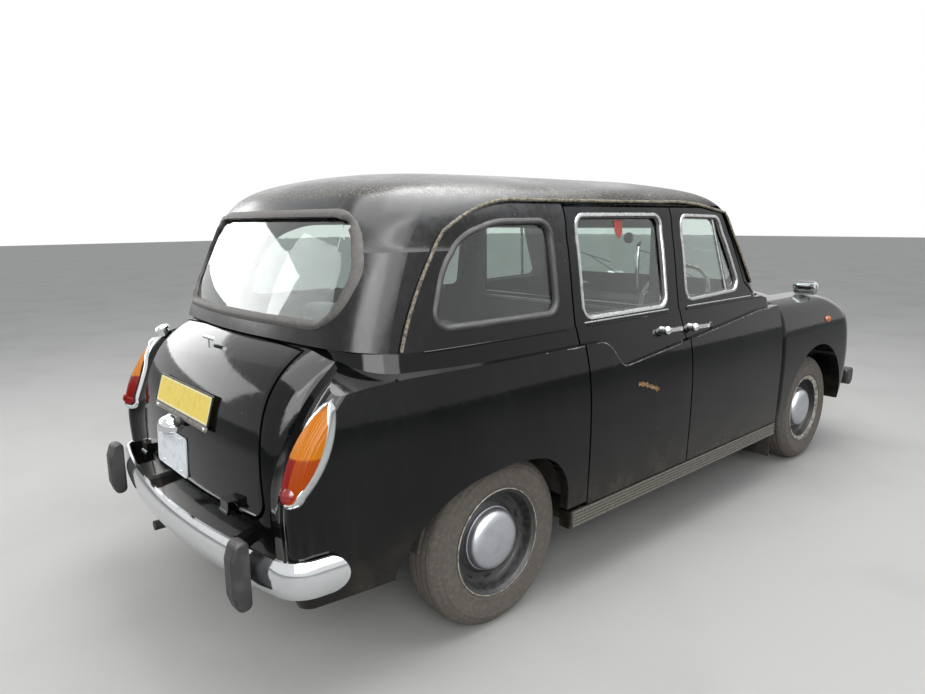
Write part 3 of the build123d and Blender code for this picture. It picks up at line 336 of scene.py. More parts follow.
@dataclass(frozen=True)
class TailLens(Finish):
    """Moulded lamp lens: amber above, red on the inner side below, with fine upright flutes."""
    red: str = "#8a0d08"
    split_z: float = 0.875
    split_y: float = 0.785
    flute_mm: float = 6.0

    def paint(self, tree: Tree, shader: bpy.types.Node, where: Socket) -> None:
        """Split the colours by place and add the flutes.

        Args:
            tree: the node tree.
            shader: its Principled shader.
            where: the coordinates to read.
        """
        place = add_node(tree, "SeparateXYZ", links={0: where})
        low = ramp(tree, place.outputs[2], self.split_z + 0.004, self.split_z - 0.004)
        across = combine(tree, "ABSOLUTE", place.outputs[1], 0.0)
        inner = ramp(tree, across, self.split_y + 0.003, self.split_y - 0.003)
        share = combine(tree, "MULTIPLY", low, inner)
        amber = blended(tree, low, self.colour, self.second)
        tree.links.new(blended(tree, share, amber, self.red), shader.inputs["Base Color"])
        wave = combine(tree, "SINE", combine(tree, "MULTIPLY", place.outputs[1],
                                             2 * math.pi / (self.flute_mm * MM)), 0.0)
        self.roughen(tree, shader, wave)
        shader.inputs["Roughness"].default_value = self.roughness


@dataclass(frozen=True)
class Clear(Finish):
    """Clear drawn glass with a faint green body and a dusty film."""

    def paint(self, tree: Tree, shader: bpy.types.Node, where: Socket) -> None:
        """A thin film of dust dulls the glass in clouds and runs.

        Args:
            tree: the node tree.
            shader: its Principled shader.
            where: the coordinates to read.
        """
        film = ramp(tree, noise(tree, where, 60.0, 6.0, (1.0, 1.0, 0.35)), 0.42, 0.85, 0.0, 0.10)
        tree.links.new(blended(tree, film, self.colour, self.second), shader.inputs["Base Color"])
        tree.links.new(combine(tree, "MULTIPLY", film, 0.12), shader.inputs["Roughness"])


# Sprayed black cellulose: a deep gloss that reads black, grey with haze on top
PAINT = CoachPaint("cellulose_black", "black_paint", "#08090a", "#08090a", 0.06, bump_mm=9.0,
                   bump_depth_mm=0.03, specular=0.24, haze_most=0.26)
# The same paint on the roof, gone chalky under the sun
ROOF_PAINT = CoachPaint("cellulose_black_chalky", "black_paint", "#0b0b0c", "#0b0b0c", 0.20,
                        bump_mm=9.0,
                        bump_depth_mm=0.03, specular=0.32, haze_most=0.42, haze_from=1.2,
                        haze_to=1.72)
# Chrome plate: bright mirror with a few dull spots
CHROME = Finish("chrome_plate", "chrome", "#d3d6d8", "#b4b1a9", 0.05, 0.10, 45.0, 0.56, 0.85, 1.0,
                1.2, 0.01)
# Plating of handles and mirror heads, hazed by wear so that it reads pale from every side
WORN_PLATE = Finish("plate_hazed", "chrome", "#e2e3e2", "#c6c3bb", 0.24, 0.12, 40.0, 0.5, 0.85, 1.0,
                    1.2, 0.01)
# Anodised aluminium extrusion, scuffed by shoes
ALUMINIUM = Finish("aluminium_extruded", "aluminium", "#83807a", "#605d57", 0.36, 0.2, 11.0, 0.42,
                   0.75, 1.0, 1.5, 0.06)
# Stainless trim around the door glass, brushed dull
TRIM = Finish("stainless_trim", "chrome", "#b9bbbc", "#8e8f8e", 0.24, 0.16, 24.0, 0.45, 0.75, 1.0,
              1.0, 0.02)
# Glazing rubber, greyed by the weather
SEAL = Finish("glazing_rubber_grey", "rubber", "#3a3735", "#524e4a", 0.55, 0.2, 22.0, 0.4, 0.7,
              bump_mm=1.6,
              bump_depth_mm=0.12)
# Moulded black rubber of the bumper blocks
BLOCK_RUBBER = Finish("moulded_rubber_black", "rubber", "#252527", "#353434", 0.48, 0.22, 40.0,
                      bump_mm=1.2,
                      bump_depth_mm=0.1)
# Tyre rubber brown with road dust
TYRE = Finish("tyre_rubber_dusty", "tyre", "#57524d", "#6c645b", 0.78, 0.14, 16.0, 0.36, 0.78,
              bump_mm=1.5,
              bump_depth_mm=0.15, specular=0.3)
# Pressed steel wheel in dark grey paint with brake dust
WHEEL = Finish("wheel_enamel_grey", "wheel_paint", "#1d1e20", "#35312c", 0.38, 0.3, 18.0, 0.42,
               0.78, bump_mm=3.0,
               bump_depth_mm=0.1)
# Hub cap of dull plated steel
CAP = Finish("hubcap_dull_plate", "chrome", "#b9bcc2", "#a5a7ab", 0.29, 0.10, 70.0, 0.42, 0.78, 0.9,
             1.4, 0.01)
# Worn pale paint on the lip of a wheel
LIP = Finish("wheel_lip_worn", "wheel_paint", "#b5b0a3", "#6b665c", 0.5, 0.2, 30.0, 0.4, 0.65,
             bump_mm=2.0,
             bump_depth_mm=0.05)
# Edge of the wing line, its paint rubbed grey and brown; its pale grey is partly a painted highlight
# along the rolled edge
WORN_EDGE_AND_HIGHLIGHT = Finish("wing_edge_worn_and_painted_highlight", "black_paint", "#3a3a3b", "#8a8375", 0.3, 0.3, 24.0, 0.5, 0.68,
                   bump_mm=2.0,
                   bump_depth_mm=0.1)
# Pale grey moulded grip of the steering wheel
GRIP = Finish("moulded_grip_grey", "trim_plastic", "#8f8e86", "#7b7a73", 0.35, 0.15, 40.0,
              bump_mm=1.4,
              bump_depth_mm=0.05)
# Chassis black, dull and dusty
UNDER = Finish("chassis_black", "underbody_paint", "#17150f", "#3a3127", 0.7, 0.2, 45.0, 0.38, 0.7,
               bump_mm=2.5,
               bump_depth_mm=0.3)
# Cast iron with an oily brown skin
IRON = Finish("cast_iron_oily", "cast_iron", "#33302c", "#1e1a16", 0.55, 0.25, 30.0, metallic=0.6,
              bump_mm=1.6,
              bump_depth_mm=0.3)
# Leathercloth seats: fine grain, soft sheen
VINYL = Finish("leathercloth_black", "seat_vinyl", "#161617", "#242425", 0.42, 0.16, 70.0,
               bump_mm=1.8,
               bump_depth_mm=0.25)
# Moulded trim in the cabin
TRIM_BLACK = Finish("moulded_trim_black", "trim_plastic", "#1a1a1b", "#242424", 0.5, 0.2, 40.0,
                    bump_mm=1.4,
                    bump_depth_mm=0.15)
# Amber and red acrylic
LENS = TailLens("acrylic_amber_red", "lamp_plastic", "#d27a10", "#ae460a", 0.16, bump_depth_mm=0.35,
                specular=0.16)
RED_LENS = Finish("acrylic_red", "lamp_plastic", "#9c1014", "#7c0c10", 0.12, 0.06, 12.0,
                  bump_mm=2.4,
                  bump_depth_mm=0.25, coat=0.6)
AMBER_LENS = Finish("acrylic_amber", "lamp_plastic", "#d8610c", "#c2500a", 0.12, 0.06, 12.0,
                    bump_mm=2.4,
                    bump_depth_mm=0.25, coat=0.6)
# Drawn glass with a faint green body
GLASS = Clear("drawn_glass", "glass", "#e9f2ee", "#c9c8c0", 0.0, transmission=1.0)
LAMP_GLASS = Ribbed("fluted_lamp_glass", "headlamp_glass", "#f2f4f4", "#dfe2e2", 0.04, 0.04, 40.0,
                    transmission=0.85)
# Reflective plate faces, plain and blank
YELLOW = Finish("plate_yellow", "lamp_plastic", "#e6cd55", "#dcc04a", 0.35, 0.15, 35.0, bump_mm=3.0,
                bump_depth_mm=0.02)
WHITE = Finish("plate_white", "lamp_plastic", "#dfe3e8", "#c3c8cc", 0.35, 0.15, 35.0, bump_mm=3.0,
               bump_depth_mm=0.02)
BORDER = Finish("plate_border_pale", "lamp_plastic", "#f0e6b8", "#d9cf9f", 0.4, 0.1, 20.0)
# Black of the plate edges, door locks and partition disc, and painted shade in the wheels' slots
BLACK_EDGE_AND_SLOT_SHADE = Finish("plate_edge_black_and_slot_shade", "rubber", "#101010", "#1c1c1c", 0.4, 0.1, 20.0)
# Bare cream and rust where the drip rail's paint has gone
GUTTER = Finish("drip_rail_worn", "black_paint", "#857c69", "#3a352c", 0.7, 0.2, 11.0, 0.42, 0.66,
                bump_mm=3.0,
                bump_depth_mm=0.5)
RUST = Finish("bare_rust", "black_paint", "#c08a4a", "#2a1a10", 0.8, 0.1, 5.0, 0.42, 0.56,
              bump_mm=1.5, bump_depth_mm=0.4)
STICKER = Finish("sticker_red", "lamp_plastic", "#a33b2e", "#8b3024", 0.5, 0.1, 8.0)
DIAL = Finish("dial_black", "trim_plastic", "#101112", "#17181a", 0.3, 0.1, 20.0)
MIRROR = Finish("mirror_silver", "chrome", "#dfe3e6", "#d5dadd", 0.02, 0.02, 60.0, metallic=1.0,
                bump_depth_mm=0.0)

# The nodes with a finish of their own; the rest get that of their slot
OWN_FINISH = {
    "roof_shell": ROOF_PAINT, "steering_wheel": GRIP, "mirrors": WORN_PLATE,
    "handle_front_right": WORN_PLATE, "handle_front_left": WORN_PLATE,
    "handle_rear_right": WORN_PLATE, "handle_rear_left": WORN_PLATE,
}
FINISH_OF_SLOT = {
    "black_paint": PAINT, "chrome": CHROME, "glass": GLASS, "tyre": TYRE, "wheel_paint": WHEEL,
    "rubber": BLOCK_RUBBER, "aluminium": ALUMINIUM, "underbody_paint": UNDER, "cast_iron": IRON,
    "seat_vinyl": VINYL, "trim_plastic": TRIM_BLACK, "headlamp_glass": LAMP_GLASS,
    "lamp_plastic": LENS,
}


# Mesh helpers
def primitive(kind: Callable, name: str, **placing: object) -> Piece:
    """Add one primitive with nothing else selected and name it.

    Args:
        kind: the operator that adds it.
        name: the piece's name.
        placing: its size and place.
    Returns:
        The piece.
    """
    bpy.ops.object.select_all(action="DESELECT")
    kind(**placing)
    made = bpy.context.object
    made.name = name
    made.data.name = name
    return made


@contextmanager
def editing(piece: Piece, element: str = "VERT") -> Iterator[None]:
    """Open a piece in edit mode with nothing of it selected.

    Args:
        piece: the mesh object to edit.
        element: VERT, EDGE or FACE.
    """
    bpy.ops.object.select_all(action="DESELECT")
    bpy.context.view_layer.objects.active = piece
    piece.select_set(True)
    bpy.ops.object.mode_set(mode="EDIT")
    bpy.ops.mesh.select_mode(type=element)
    bpy.ops.mesh.select_all(action="DESELECT")
    yield
    bpy.ops.object.mode_set(mode="OBJECT")


def pick(piece: Piece, kind: str, test: Callable) -> None:
    """Select the vertices, edges or faces that pass a test, in edit mode.

    Args:
        piece: the mesh object.
        kind: verts, edges or faces.
        test: tells whether an item is picked.
    """
    mesh = bmesh.from_edit_mesh(piece.data)
    for item in getattr(mesh, kind):
        item.select_set(bool(test(item)))
    mesh.select_flush_mode()
    bmesh.update_edit_mesh(piece.data)


def spun(name: str, profile: Line, centre: Vector, axis: Vector, steps: int = 64) -> Piece:
    """Spin a profile round an axis.

    Args:
        name: the piece's name.
        profile: radius and distance along the axis, in metres.
        centre: where the axis starts.
        axis: unit direction of the axis.
        steps: faces round the ring.
    Returns:
        The closed ring or dome.
    """
    out = axis.orthogonal().normalized()
    places = [centre + out * r + axis * w for r, w in profile]
    piece = primitive(bpy.ops.mesh.primitive_plane_add, name, size=0.01, location=places[0])
    with editing(piece):
        pick(piece, "verts", lambda v: v.index != 0)
        bpy.ops.mesh.delete(type="VERT")
        bpy.ops.mesh.select_all(action="SELECT")
        first = piece.matrix_world @ bmesh.from_edit_mesh(piece.data).verts[:][0].co
        bpy.ops.transform.translate(value=places[0] - first)
        for a, b in zip(places, places[1:]):
            bpy.ops.mesh.extrude_region_move(TRANSFORM_OT_translate={"value": b - a})
        bpy.ops.mesh.select_all(action="SELECT")
        bpy.ops.mesh.spin(steps=steps, angle=2 * math.pi, center=centre, axis=axis)
        bpy.ops.mesh.select_all(action="SELECT")
        bpy.ops.mesh.remove_doubles(threshold=0.00002)
        bpy.ops.mesh.normals_make_consistent(inside=False)
    return piece


def block(name: str, centre: Sequence[float], size: Sequence[float], round_mm: float = 3.0,
          segments: int = 3) -> Piece:
    """Box with rounded edges.

    Args:
        name: the piece's name.
        centre: its middle.
        size: length along each axis.
        round_mm: width of the rounding.
        segments: faces over the rounding.
    Returns:
        The block.
    """
    piece = primitive(bpy.ops.mesh.primitive_cube_add, name, size=1.0, location=centre)
    piece.scale = size
    bpy.ops.object.transform_apply()
    with editing(piece, "EDGE"):
        bpy.ops.mesh.select_all(action="SELECT")
        bpy.ops.mesh.bevel(offset=round_mm * MM, segments=segments, profile=0.5)
    return piece


def tube(name: str, points: Sequence[Vector], radius: float, rings: int = 3) -> Piece:
    """Round bar along a line of points, made a mesh.

    Args:
        name: the piece's name.
        points: its middle line.
        radius: half its thickness.
        rings: fineness of its roundness.
    Returns:
        The bar as a mesh.
    """
    curve = bpy.data.curves.new(name, "CURVE")
    curve.dimensions = "3D"
    spline = curve.splines.new("POLY")
    spline.points.add(len(points) - 1)
    for place, point in zip(spline.points, points):
        place.co = (*point, 1.0)
    curve.bevel_depth = radius
    curve.bevel_resolution = rings
    curve.use_fill_caps = True
    made = bpy.data.objects.new(name, curve)
    bpy.context.scene.collection.objects.link(made)
    bpy.ops.object.select_all(action="DESELECT")
    bpy.context.view_layer.objects.active = made
    made.select_set(True)
    bpy.ops.object.convert(target="MESH")
    return bpy.context.object


def grid(name: str, rows: Sequence[Sequence[Vector]], around: bool = True,
         across: bool = True) -> Piece:
    """Mesh of quads over rows of points, closed round either way.

    Args:
        name: the piece's name.
        rows: lists of points, all of one length.
        around: joins the last point of a row to its first.
        across: joins the last row to the first.
    Returns:
        The mesh object with outward faces.
    """
    count, width = len(rows), len(rows[0])
    faces = []
    for i in range(count if across else count - 1):
        for j in range(width if around else width - 1):
            k, l = (i + 1) % count, (j + 1) % width
            faces.append((i * width + j, i * width + l, k * width + l, k * width + j))
    data = bpy.data.meshes.new(name)
    data.from_pydata([tuple(p) for row in rows for p in row], [], faces)
    made = bpy.data.objects.new(name, data)
    bpy.context.scene.collection.objects.link(made)
    with editing(made):
        bpy.ops.mesh.select_all(action="SELECT")
        bpy.ops.mesh.normals_make_consistent(inside=False)
    return made


def capped(piece: Piece) -> Piece:
    """Close every open edge loop of a piece with a flat face.

    Args:
        piece: the mesh object.
    Returns:
        The same object.
    """
    with editing(piece):
        bpy.ops.mesh.select_all(action="SELECT")
        bpy.ops.mesh.fill_holes(sides=0)
        bpy.ops.mesh.select_all(action="SELECT")
        bpy.ops.mesh.normals_make_consistent(inside=False)
    return piece


def joined(name: str, pieces: Sequence[Piece]) -> Piece:
    """Join several meshes of one finish into one piece.

    Args:
        name: the name of the whole.
        pieces: its parts.
    Returns:
        The joined piece.
    """
    bpy.ops.object.select_all(action="DESELECT")
    for piece in pieces:
        piece.select_set(True)
    bpy.context.view_layer.objects.active = pieces[0]
    bpy.ops.object.join()
    pieces[0].name = name
    return pieces[0]


def placed(piece: Piece, matrix: Matrix) -> Piece:
    """Move a finished mesh by a matrix, leaving its object at the origin.

    Args:
        piece: the mesh object.
        matrix: the move.
    Returns:
        The same object.
    """
    piece.data.transform(matrix)
    piece.data.update()
    return piece


def settled(piece: Piece, finish: Finish, body: str, smooth: float = 35.0,
            stands_for: Sequence[str] = ()) -> Piece:
    """Give a piece its finish, smoothing and body, with its object at the origin.

    Args:
        piece: the mesh object.
        finish: its surface.
        body: the CAD body that it rides on.
        smooth: edges sharper than this many degrees stay hard.
        stands_for: CAD nodes that it replaces.
    Returns:
        The same object.
    """
    bpy.ops.object.select_all(action="DESELECT")
    bpy.context.view_layer.objects.active = piece
    piece.select_set(True)
    bpy.ops.object.transform_apply()
    piece.data.materials.clear()
    piece.data.materials.append(finish.material())
    bpy.ops.object.shade_smooth_by_angle(angle=math.radians(smooth))
    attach(piece, body)
    if stands_for:
        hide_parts(*stands_for)
    LOG.info("%s: %d faces on %s", piece.name, len(piece.data.polygons), body)
    return piece


class Skin:
    """Outer surface of some CAD nodes, for laying trim on it."""

    def __init__(self, *nodes: str) -> None:
        """Gather the nodes' triangles into one search tree.

        Args:
            nodes: names of the CAD nodes.
        """
        points: list[Vector] = []
        faces: list[tuple[int, ...]] = []
        for node in nodes:
            start = len(points)
            data = frame["nodes"][node].data
            points += [v.co.copy() for v in data.vertices]
            faces += [tuple(start + i for i in p.vertices) for p in data.polygons]
        self.tree = BVHTree.FromPolygons(points, faces)

    def hit(self, start: Vector, way: Vector) -> Vector | None:
        """First point of the skin from start along way, or None."""
        return self.tree.ray_cast(start, way)[0]


def rounded(corners: Line, radii: float | Sequence[float], steps: int = 6) -> list[Flat]:
    """Outline with its corners rounded by arcs.

    Args:
        corners: corner points in order.
        radii: one radius, or one for each corner.
        steps: parts of each arc.
    Returns:
        Points of the rounded outline, in the same unit.
    """
    made: list[Flat] = []
    count = len(corners)
    for i in range(count):
        radius = radii if isinstance(radii, (int, float)) else radii[i]
        p = Vector(corners[i])
        a = (Vector(corners[i - 1]) - p).normalized()
        b = (Vector(corners[(i + 1) % count]) - p).normalized()
        half = a.angle(b) / 2
        centre = p + (a + b).normalized() * (radius / math.sin(half))
        start = p + a * (radius / math.tan(half)) - centre
        end = p + b * (radius / math.tan(half)) - centre
        turn = start.angle_signed(end)
        for k in range(steps + 1):
            t = -turn * k / steps
            x = start.x * math.cos(t) - start.y * math.sin(t)
            y = start.x * math.sin(t) + start.y * math.cos(t)
            made.append((centre.x + x, centre.y + y))
    return made


def spaced(outline: Line, pitch: float) -> list[Flat]:
    """Points along a closed outline, no further apart than pitch.

    Args:
        outline: its points.
        pitch: greatest distance.
    Returns:
        The points.
    """
    made: list[Flat] = []
    for i, point in enumerate(outline):
        a, b = Vector(point), Vector(outline[(i + 1) % len(outline)])
        parts = max(1, math.ceil((b - a).length / pitch))
        if (b - a).length > 1e-6:
            made += [tuple(a.lerp(b, k / parts)) for k in range(parts)]
    return made


def outward(outline: Line) -> list[Vector]:
    """Unit normals of a closed outline that point away from it.

    Args:
        outline: its points.
    Returns:
        One normal for each point.
    """
    area = sum(a[0] * b[1] - b[0] * a[1] for a, b in zip(outline, list(outline[1:]) + [outline[0]]))
    sign = 1 if area > 0 else -1
    made = []
    for i in range(len(outline)):
        along = Vector(outline[(i + 1) % len(outline)]) - Vector(outline[i - 1])
        made.append(Vector((along.y, -along.x)).normalized() * sign)
    return made


@dataclass(frozen=True)
class Face:
    """A flat drawing plane: outlines are drawn along u and v, and out points away from the cab."""
    origin: Vector
    u: Vector
    v: Vector
    out: Vector

    def point(self, flat: Sequence[float], height: float = 0.0) -> Vector:
        """Place of an outline point at a height over the plane."""
        return self.origin + self.u * flat[0] + self.v * flat[1] + self.out * height

    def felt(self, skin: Skin, flat: Sequence[float]) -> float | None:
        """Height of the skin over the plane at an outline point, or None where there is none."""
        found = skin.hit(self.point(flat, 1.5), -self.out)
        return (found - self.origin).dot(self.out) if found else None

    def laid(self, skin: Skin, line: Line, lift: float = 0.0,
             deepest: float = -1.0) -> list[Vector]:
        """Lay a line of points on a skin, without those that have none under them.

        Args:
            skin: the surface that carries them.
            line: the outline points.
            lift: height over the skin, in metres.
            deepest: height over the plane below which the skin doesn't count.
        Returns:
            The places on the skin.
        """
        levels = [(flat, self.felt(skin, flat)) for flat in line]
        return [self.point(flat, level + lift) for flat, level in levels
                if level is not None and level > deepest]


def even(a: Flat, b: Flat, parts: int) -> list[Flat]:
    """Points that divide the line from a to b into equal parts."""
    return [tuple(p + (q - p) * k / parts for p, q in zip(a, b)) for k in range(parts + 1)]


class Facing(Enum):
    """Which way a window looks."""
    RIGHT = Face(Vector((0, -0.8, 0)), X, Z, -Y)
    LEFT = Face(Vector((0, 0.8, 0)), X, Z, Y)
    REAR = Face(Vector((-2.0, 0, 0)), Y, Z, -X)
    FRONT = Face(Vector((1.0, 0, 0)), Y, Z, X)


def side_face(y_sign: int) -> Face:
    """Drawing plane of the right (-1) or left (1) side."""
    return (Facing.RIGHT if y_sign < 0 else Facing.LEFT).value


def skin_band(name: str, skin: Skin, face: Face, outline: Line, section: Line,
              probe: float = 0.008) -> Piece:
    """Lay a closed strip of a given section along an outline on the skin.

    Args:
        name: the piece's name.
        skin: the surface that carries it.
        face: the plane that the outline is drawn in.
        outline: closed outline of the opening, in metres.
        section: offset away from the opening and height over the skin, in metres, as a closed loop.
        probe: how far outside the opening the skin is felt.
    Returns:
        The strip.
    """
    reach = 0.02
    rows = []
    level = 0.0
    for flat, normal in zip(outline, outward(outline)):
        near = face.felt(skin, Vector(flat) + normal * probe)
        further = face.felt(skin, Vector(flat) + normal * (probe + reach))
        slope = (further - near) / reach if near is not None and further is not None else 0.0
        slope = slope if abs(slope) < 1.2 else 0.0
        level = near if near is not None else level
        rows.append([face.point(Vector(flat) + normal * offset,
                                level + slope * (offset - probe) + height)
                     for offset, height in section])
    return grid(name, rows)


def arc(p: Flat, m: Flat, q: Flat, steps: int = 8) -> list[Flat]:
    """Points on the arc from p through m to q.

    Args:
        p: start of the arc.
        m: a point on the way.
        q: its end.
        steps: parts of the arc.
    Returns:
        Points of the arc, both ends too.
    """
    a, b, c = Vector(p), Vector(m), Vector(q)
    turns = [(a, b, c), (b, c, a), (c, a, b)]
    d = 2 * sum(i.x * (j.y - k.y) for i, j, k in turns)
    ux = sum(i.length_squared * (j.y - k.y) for i, j, k in turns) / d
    uy = sum(i.length_squared * (k.x - j.x) for i, j, k in turns) / d
    centre = Vector((ux, uy))
    start, mid, end = a - centre, b - centre, c - centre
    turn = -start.angle_signed(mid) - mid.angle_signed(end)
    made = []
    for k in range(steps + 1):
        t = turn * k / steps
        made.append((centre.x + start.x * math.cos(t) - start.y * math.sin(t),
                     centre.y + start.x * math.sin(t) + start.y * math.cos(t)))
    return made


# Trim that lies on the skin
@dataclass
class FixedWindows:
    """Rubber seals of the windscreen, the rear window and the two quarter windows."""
    quarter: Line = ((-1.572, 1.190), (-0.922, 1.190), (-0.922, 1.562), (-1.230, 1.562),
                               (-1.404, 1.510), (-1.500, 1.400))
    quarter_radii: Sequence[float] = (0.056, 0.058, 0.066, 0.45, 0.24, 0.28)
    rear: Line = ((-0.600, 1.222), (0.600, 1.222), (0.632, 1.400), (0.545, 1.592), (-0.545, 1.592),
                            (-0.632, 1.400))
    rear_radii: Sequence[float] = (0.105, 0.105, 0.170, 0.160, 0.160, 0.170)
    screen: Line = ((-0.640, 1.195), (0.640, 1.195), (0.580, 1.590), (-0.580, 1.590))
    screen_radius: float = 0.080
    pitch: float = 0.02
    inside: float = -0.016
    glass_depth: float = -0.013
    width: float = 0.027
    proud: float = 0.007

    def section(self, width: float, proud: float) -> list[Flat]:
        """Section of a glazing rubber: a lip on the glass, a round back and a foot on the paint.

        Args:
            width: width of the rubber.
            proud: height of its back over the paint.
        Returns:
            The section as a closed loop.
        """
        last = self.inside + width
        return [(self.inside, self.glass_depth), (self.inside + 0.001, self.glass_depth + 0.006),
                (self.inside + 0.005, proud * 0.55), (self.inside + width * 0.42, proud),
                (self.inside + width * 0.62, proud * 0.9), (last - 0.003, proud * 0.5),
                (last, -0.002),
                (self.inside + 0.008, -0.010)]

    def build(self) -> None:
        """Lay all four seals."""
        skin = Skin("roof_shell")
        for side, y_sign in SIDES:
            line = spaced(rounded(self.quarter, self.quarter_radii), self.pitch)
            seal = skin_band(f"quarter_seal_{side}", skin, side_face(y_sign), line,
                             self.section(self.width, self.proud))
            settled(seal, BLOCK_RUBBER, "body", 50)
        for name, corners, radius, facing in (("rear_window_seal", self.rear, self.rear_radii,
                                               Facing.REAR),
                                              ("windscreen_seal", self.screen, self.screen_radius,
                                               Facing.FRONT)):
            line = spaced(rounded(corners, radius, 10), self.pitch)
            wide = skin_band(name, skin, facing.value, line, self.section(self.width + 0.006,
                                                                          self.proud + 0.002))
            settled(wide, SEAL, "body", 50)


@dataclass
class DoorWindows:
    """Bright frames round the door glass, the front doors' vent bars and a rear door's sticker."""
    rear: Line = ((-0.768, 1.152), (-0.132, 1.152), (-0.132, 1.588), (-0.768, 1.588))
    front: Line = ((0.040, 1.163), (0.598, 1.180), (0.408, 1.578), (0.040, 1.586))
    radius: float = 0.055
    pitch: float = 0.02
    vent_foot: Flat = (0.452, 1.176)
    vent_head: Flat = (0.372, 1.575)
    glass_low: Flat = (0.754, 1.140)
    glass_high: Flat = (0.679, 1.600)
    sticker: Line = ((-0.478, 1.560), (-0.418, 1.560), (-0.420, 1.505), (-0.448, 1.478),
                     (-0.476, 1.505))

    def glass_y(self, z: float) -> float:
        """Outer face of the flat leaning door glass at a height."""
        share = (z - self.glass_low[1]) / (self.glass_high[1] - self.glass_low[1])
        return self.glass_low[0] + share * (self.glass_high[0] - self.glass_low[0])

    def build(self) -> None:
        """Frame all four doors and add bars and sticker."""
        bright = [(-0.012, -0.013), (-0.012, 0.000), (-0.009, 0.004), (-0.002, 0.005),
                  (0.003, 0.004),
                  (0.005, -0.001), (-0.003, -0.008)]
        rubber = [(-0.020, -0.0135), (-0.020, -0.009), (-0.014, -0.006), (-0.011, -0.007),
                  (-0.011, -0.0135)]
        for side, y_sign in SIDES:
            for place, corners in (("front", self.front), ("rear", self.rear)):
                body = f"door_{place}_{side}_body"
                skin = Skin(f"door_{place}_{side}")
                line = spaced(rounded(corners, self.radius), self.pitch)
                settled(skin_band(f"window_frame_{place}_{side}", skin, side_face(y_sign), line,
                                  bright), TRIM, body)
                settled(skin_band(f"glass_channel_{place}_{side}", skin, side_face(y_sign), line,
                                  rubber), SEAL, body)
            self.vent_bar(side, y_sign)
            if y_sign < 0:
                self.make_sticker()

    def vent_bar(self, side: str, y_sign: int) -> None:
        """Upright bar that parts the vent pane from the drop glass, with its pane edge rubber.

        Args:
            side: right or left.
            y_sign: side of the cab, -1 or 1.
        """
        bars = []
        for shift, radius in ((0.0, 0.006), (0.012, 0.004)):
            ends = [Vector((x + shift, y_sign * (self.glass_y(z) + 0.003), z)) for x, z in
                    (self.vent_foot, self.vent_head)]
            bars.append(tube(f"vent_bar_{side}_{len(bars)}", ends, radius))
        body = f"door_front_{side}_body"
        settled(bars[0], TRIM, body)
        settled(bars[1], SEAL, body)

    def make_sticker(self) -> None:
        """Plain pennant-shaped sticker on the right rear door glass."""
        rows = [[Vector((x, -self.glass_y(z) - lift, z)) for x, z in self.sticker]
                for lift in (0.0004, 0.0010)]
        piece = capped(grid("door_sticker", rows, across=False))
        settled(piece, STICKER, "door_rear_right_body")


@dataclass
class DripRails:
    """Rolled, corroded edge of the drip rail over each side."""
    radius: float = 0.0065
    proud: float = 0.0010

    def line(self) -> list[Flat]:
        """Side view of the rail, from the foot of the rear pillar to the foot of the windscreen.

        Returns:
            Its points.
        """
        made = arc((-1.706, 1.136), (-1.614, 1.335), (-1.480, 1.528), 14)
        made += arc((-1.480, 1.528), (-1.300, 1.613), (-1.080, 1.641), 10)[1:]
        made += [(-1.080 + 0.98 * k / 20, 1.641 + 0.002 * k / 20) for k in range(1, 21)]
        made += arc((-0.100, 1.643), (0.260, 1.632), (0.480, 1.596), 12)[1:]
        made += [(0.480 + 0.226 * k / 12, 1.596 - 0.382 * k / 12) for k in range(1, 13)]
        return made

    def build(self) -> None:
        """Run both edges along the rails of the roof."""
        skin = Skin("roof_shell")
        for side, y_sign in SIDES:
            points = side_face(y_sign).laid(skin, self.line(), self.proud)
            settled(tube(f"drip_rail_edge_{side}", points, self.radius, rings=2), GUTTER, "body",
                    60)


@dataclass
class TailLamps:
    """Bezels round the almond lenses, and the round reflectors at their feet."""
    top: Spot = (-2.006, 0.790, 1.030)
    bottom: Spot = (-2.150, 0.768, 0.740)

    def face(self, y_sign: int) -> Face:
        """Drawing plane of one lamp, with u running up along it.

        Args:
            y_sign: side of the cab, -1 or 1.
        Returns:
            The plane.
        """
        top = Vector((self.top[0], y_sign * self.top[1], self.top[2]))
        bottom = Vector((self.bottom[0], y_sign * self.bottom[1], self.bottom[2]))
        along = (top - bottom).normalized()
        facing = Vector((-0.8, y_sign * 0.6, 0.0))
        facing = (facing - along * facing.dot(along)).normalized()
        return Face((top + bottom) / 2, along, facing.cross(along), facing)

    def outline(self) -> list[Flat]:
        """Almond outline of the lens.

        Returns:
            Its points.
        """
        made = arc((0.164, 0.0), (0.030, 0.043), (-0.126, 0.031), 20)
        made += arc((-0.126, 0.031), (-0.164, 0.0), (-0.126, -0.031), 14)[1:]
        made += arc((-0.126, -0.031), (0.030, -0.043), (0.164, 0.0), 20)[1:-1]
        return made

    def build(self) -> None:
        """Make a bezel and a reflector for each lamp."""
        section = [(-0.003, 0.004), (-0.003, 0.017), (0.001, 0.020), (0.006, 0.016), (0.014, 0.004),
                   (0.015, -0.004)]
        for side, y_sign in SIDES:
            face = self.face(y_sign)
            skin = Skin(f"rear_quarter_{side}", "tail_panel")
            bezel = skin_band(f"tail_lamp_bezel_{side}", skin, face, self.outline(), section, 0.012)
            settled(bezel, CHROME, "body", 60)
            centre = face.laid(Skin("tail_lamps"), [(-0.132, 0.0)], -0.002)[0]
            profile = [(0.0, 0.009), (0.010, 0.0085), (0.018, 0.006), (0.022, 0.0),
                       (0.022, -0.004), (0.0, -0.004)]
            reflector = spun(f"tail_reflector_{side}", profile, centre, face.out, 32)
            settled(reflector, RED_LENS, "body")


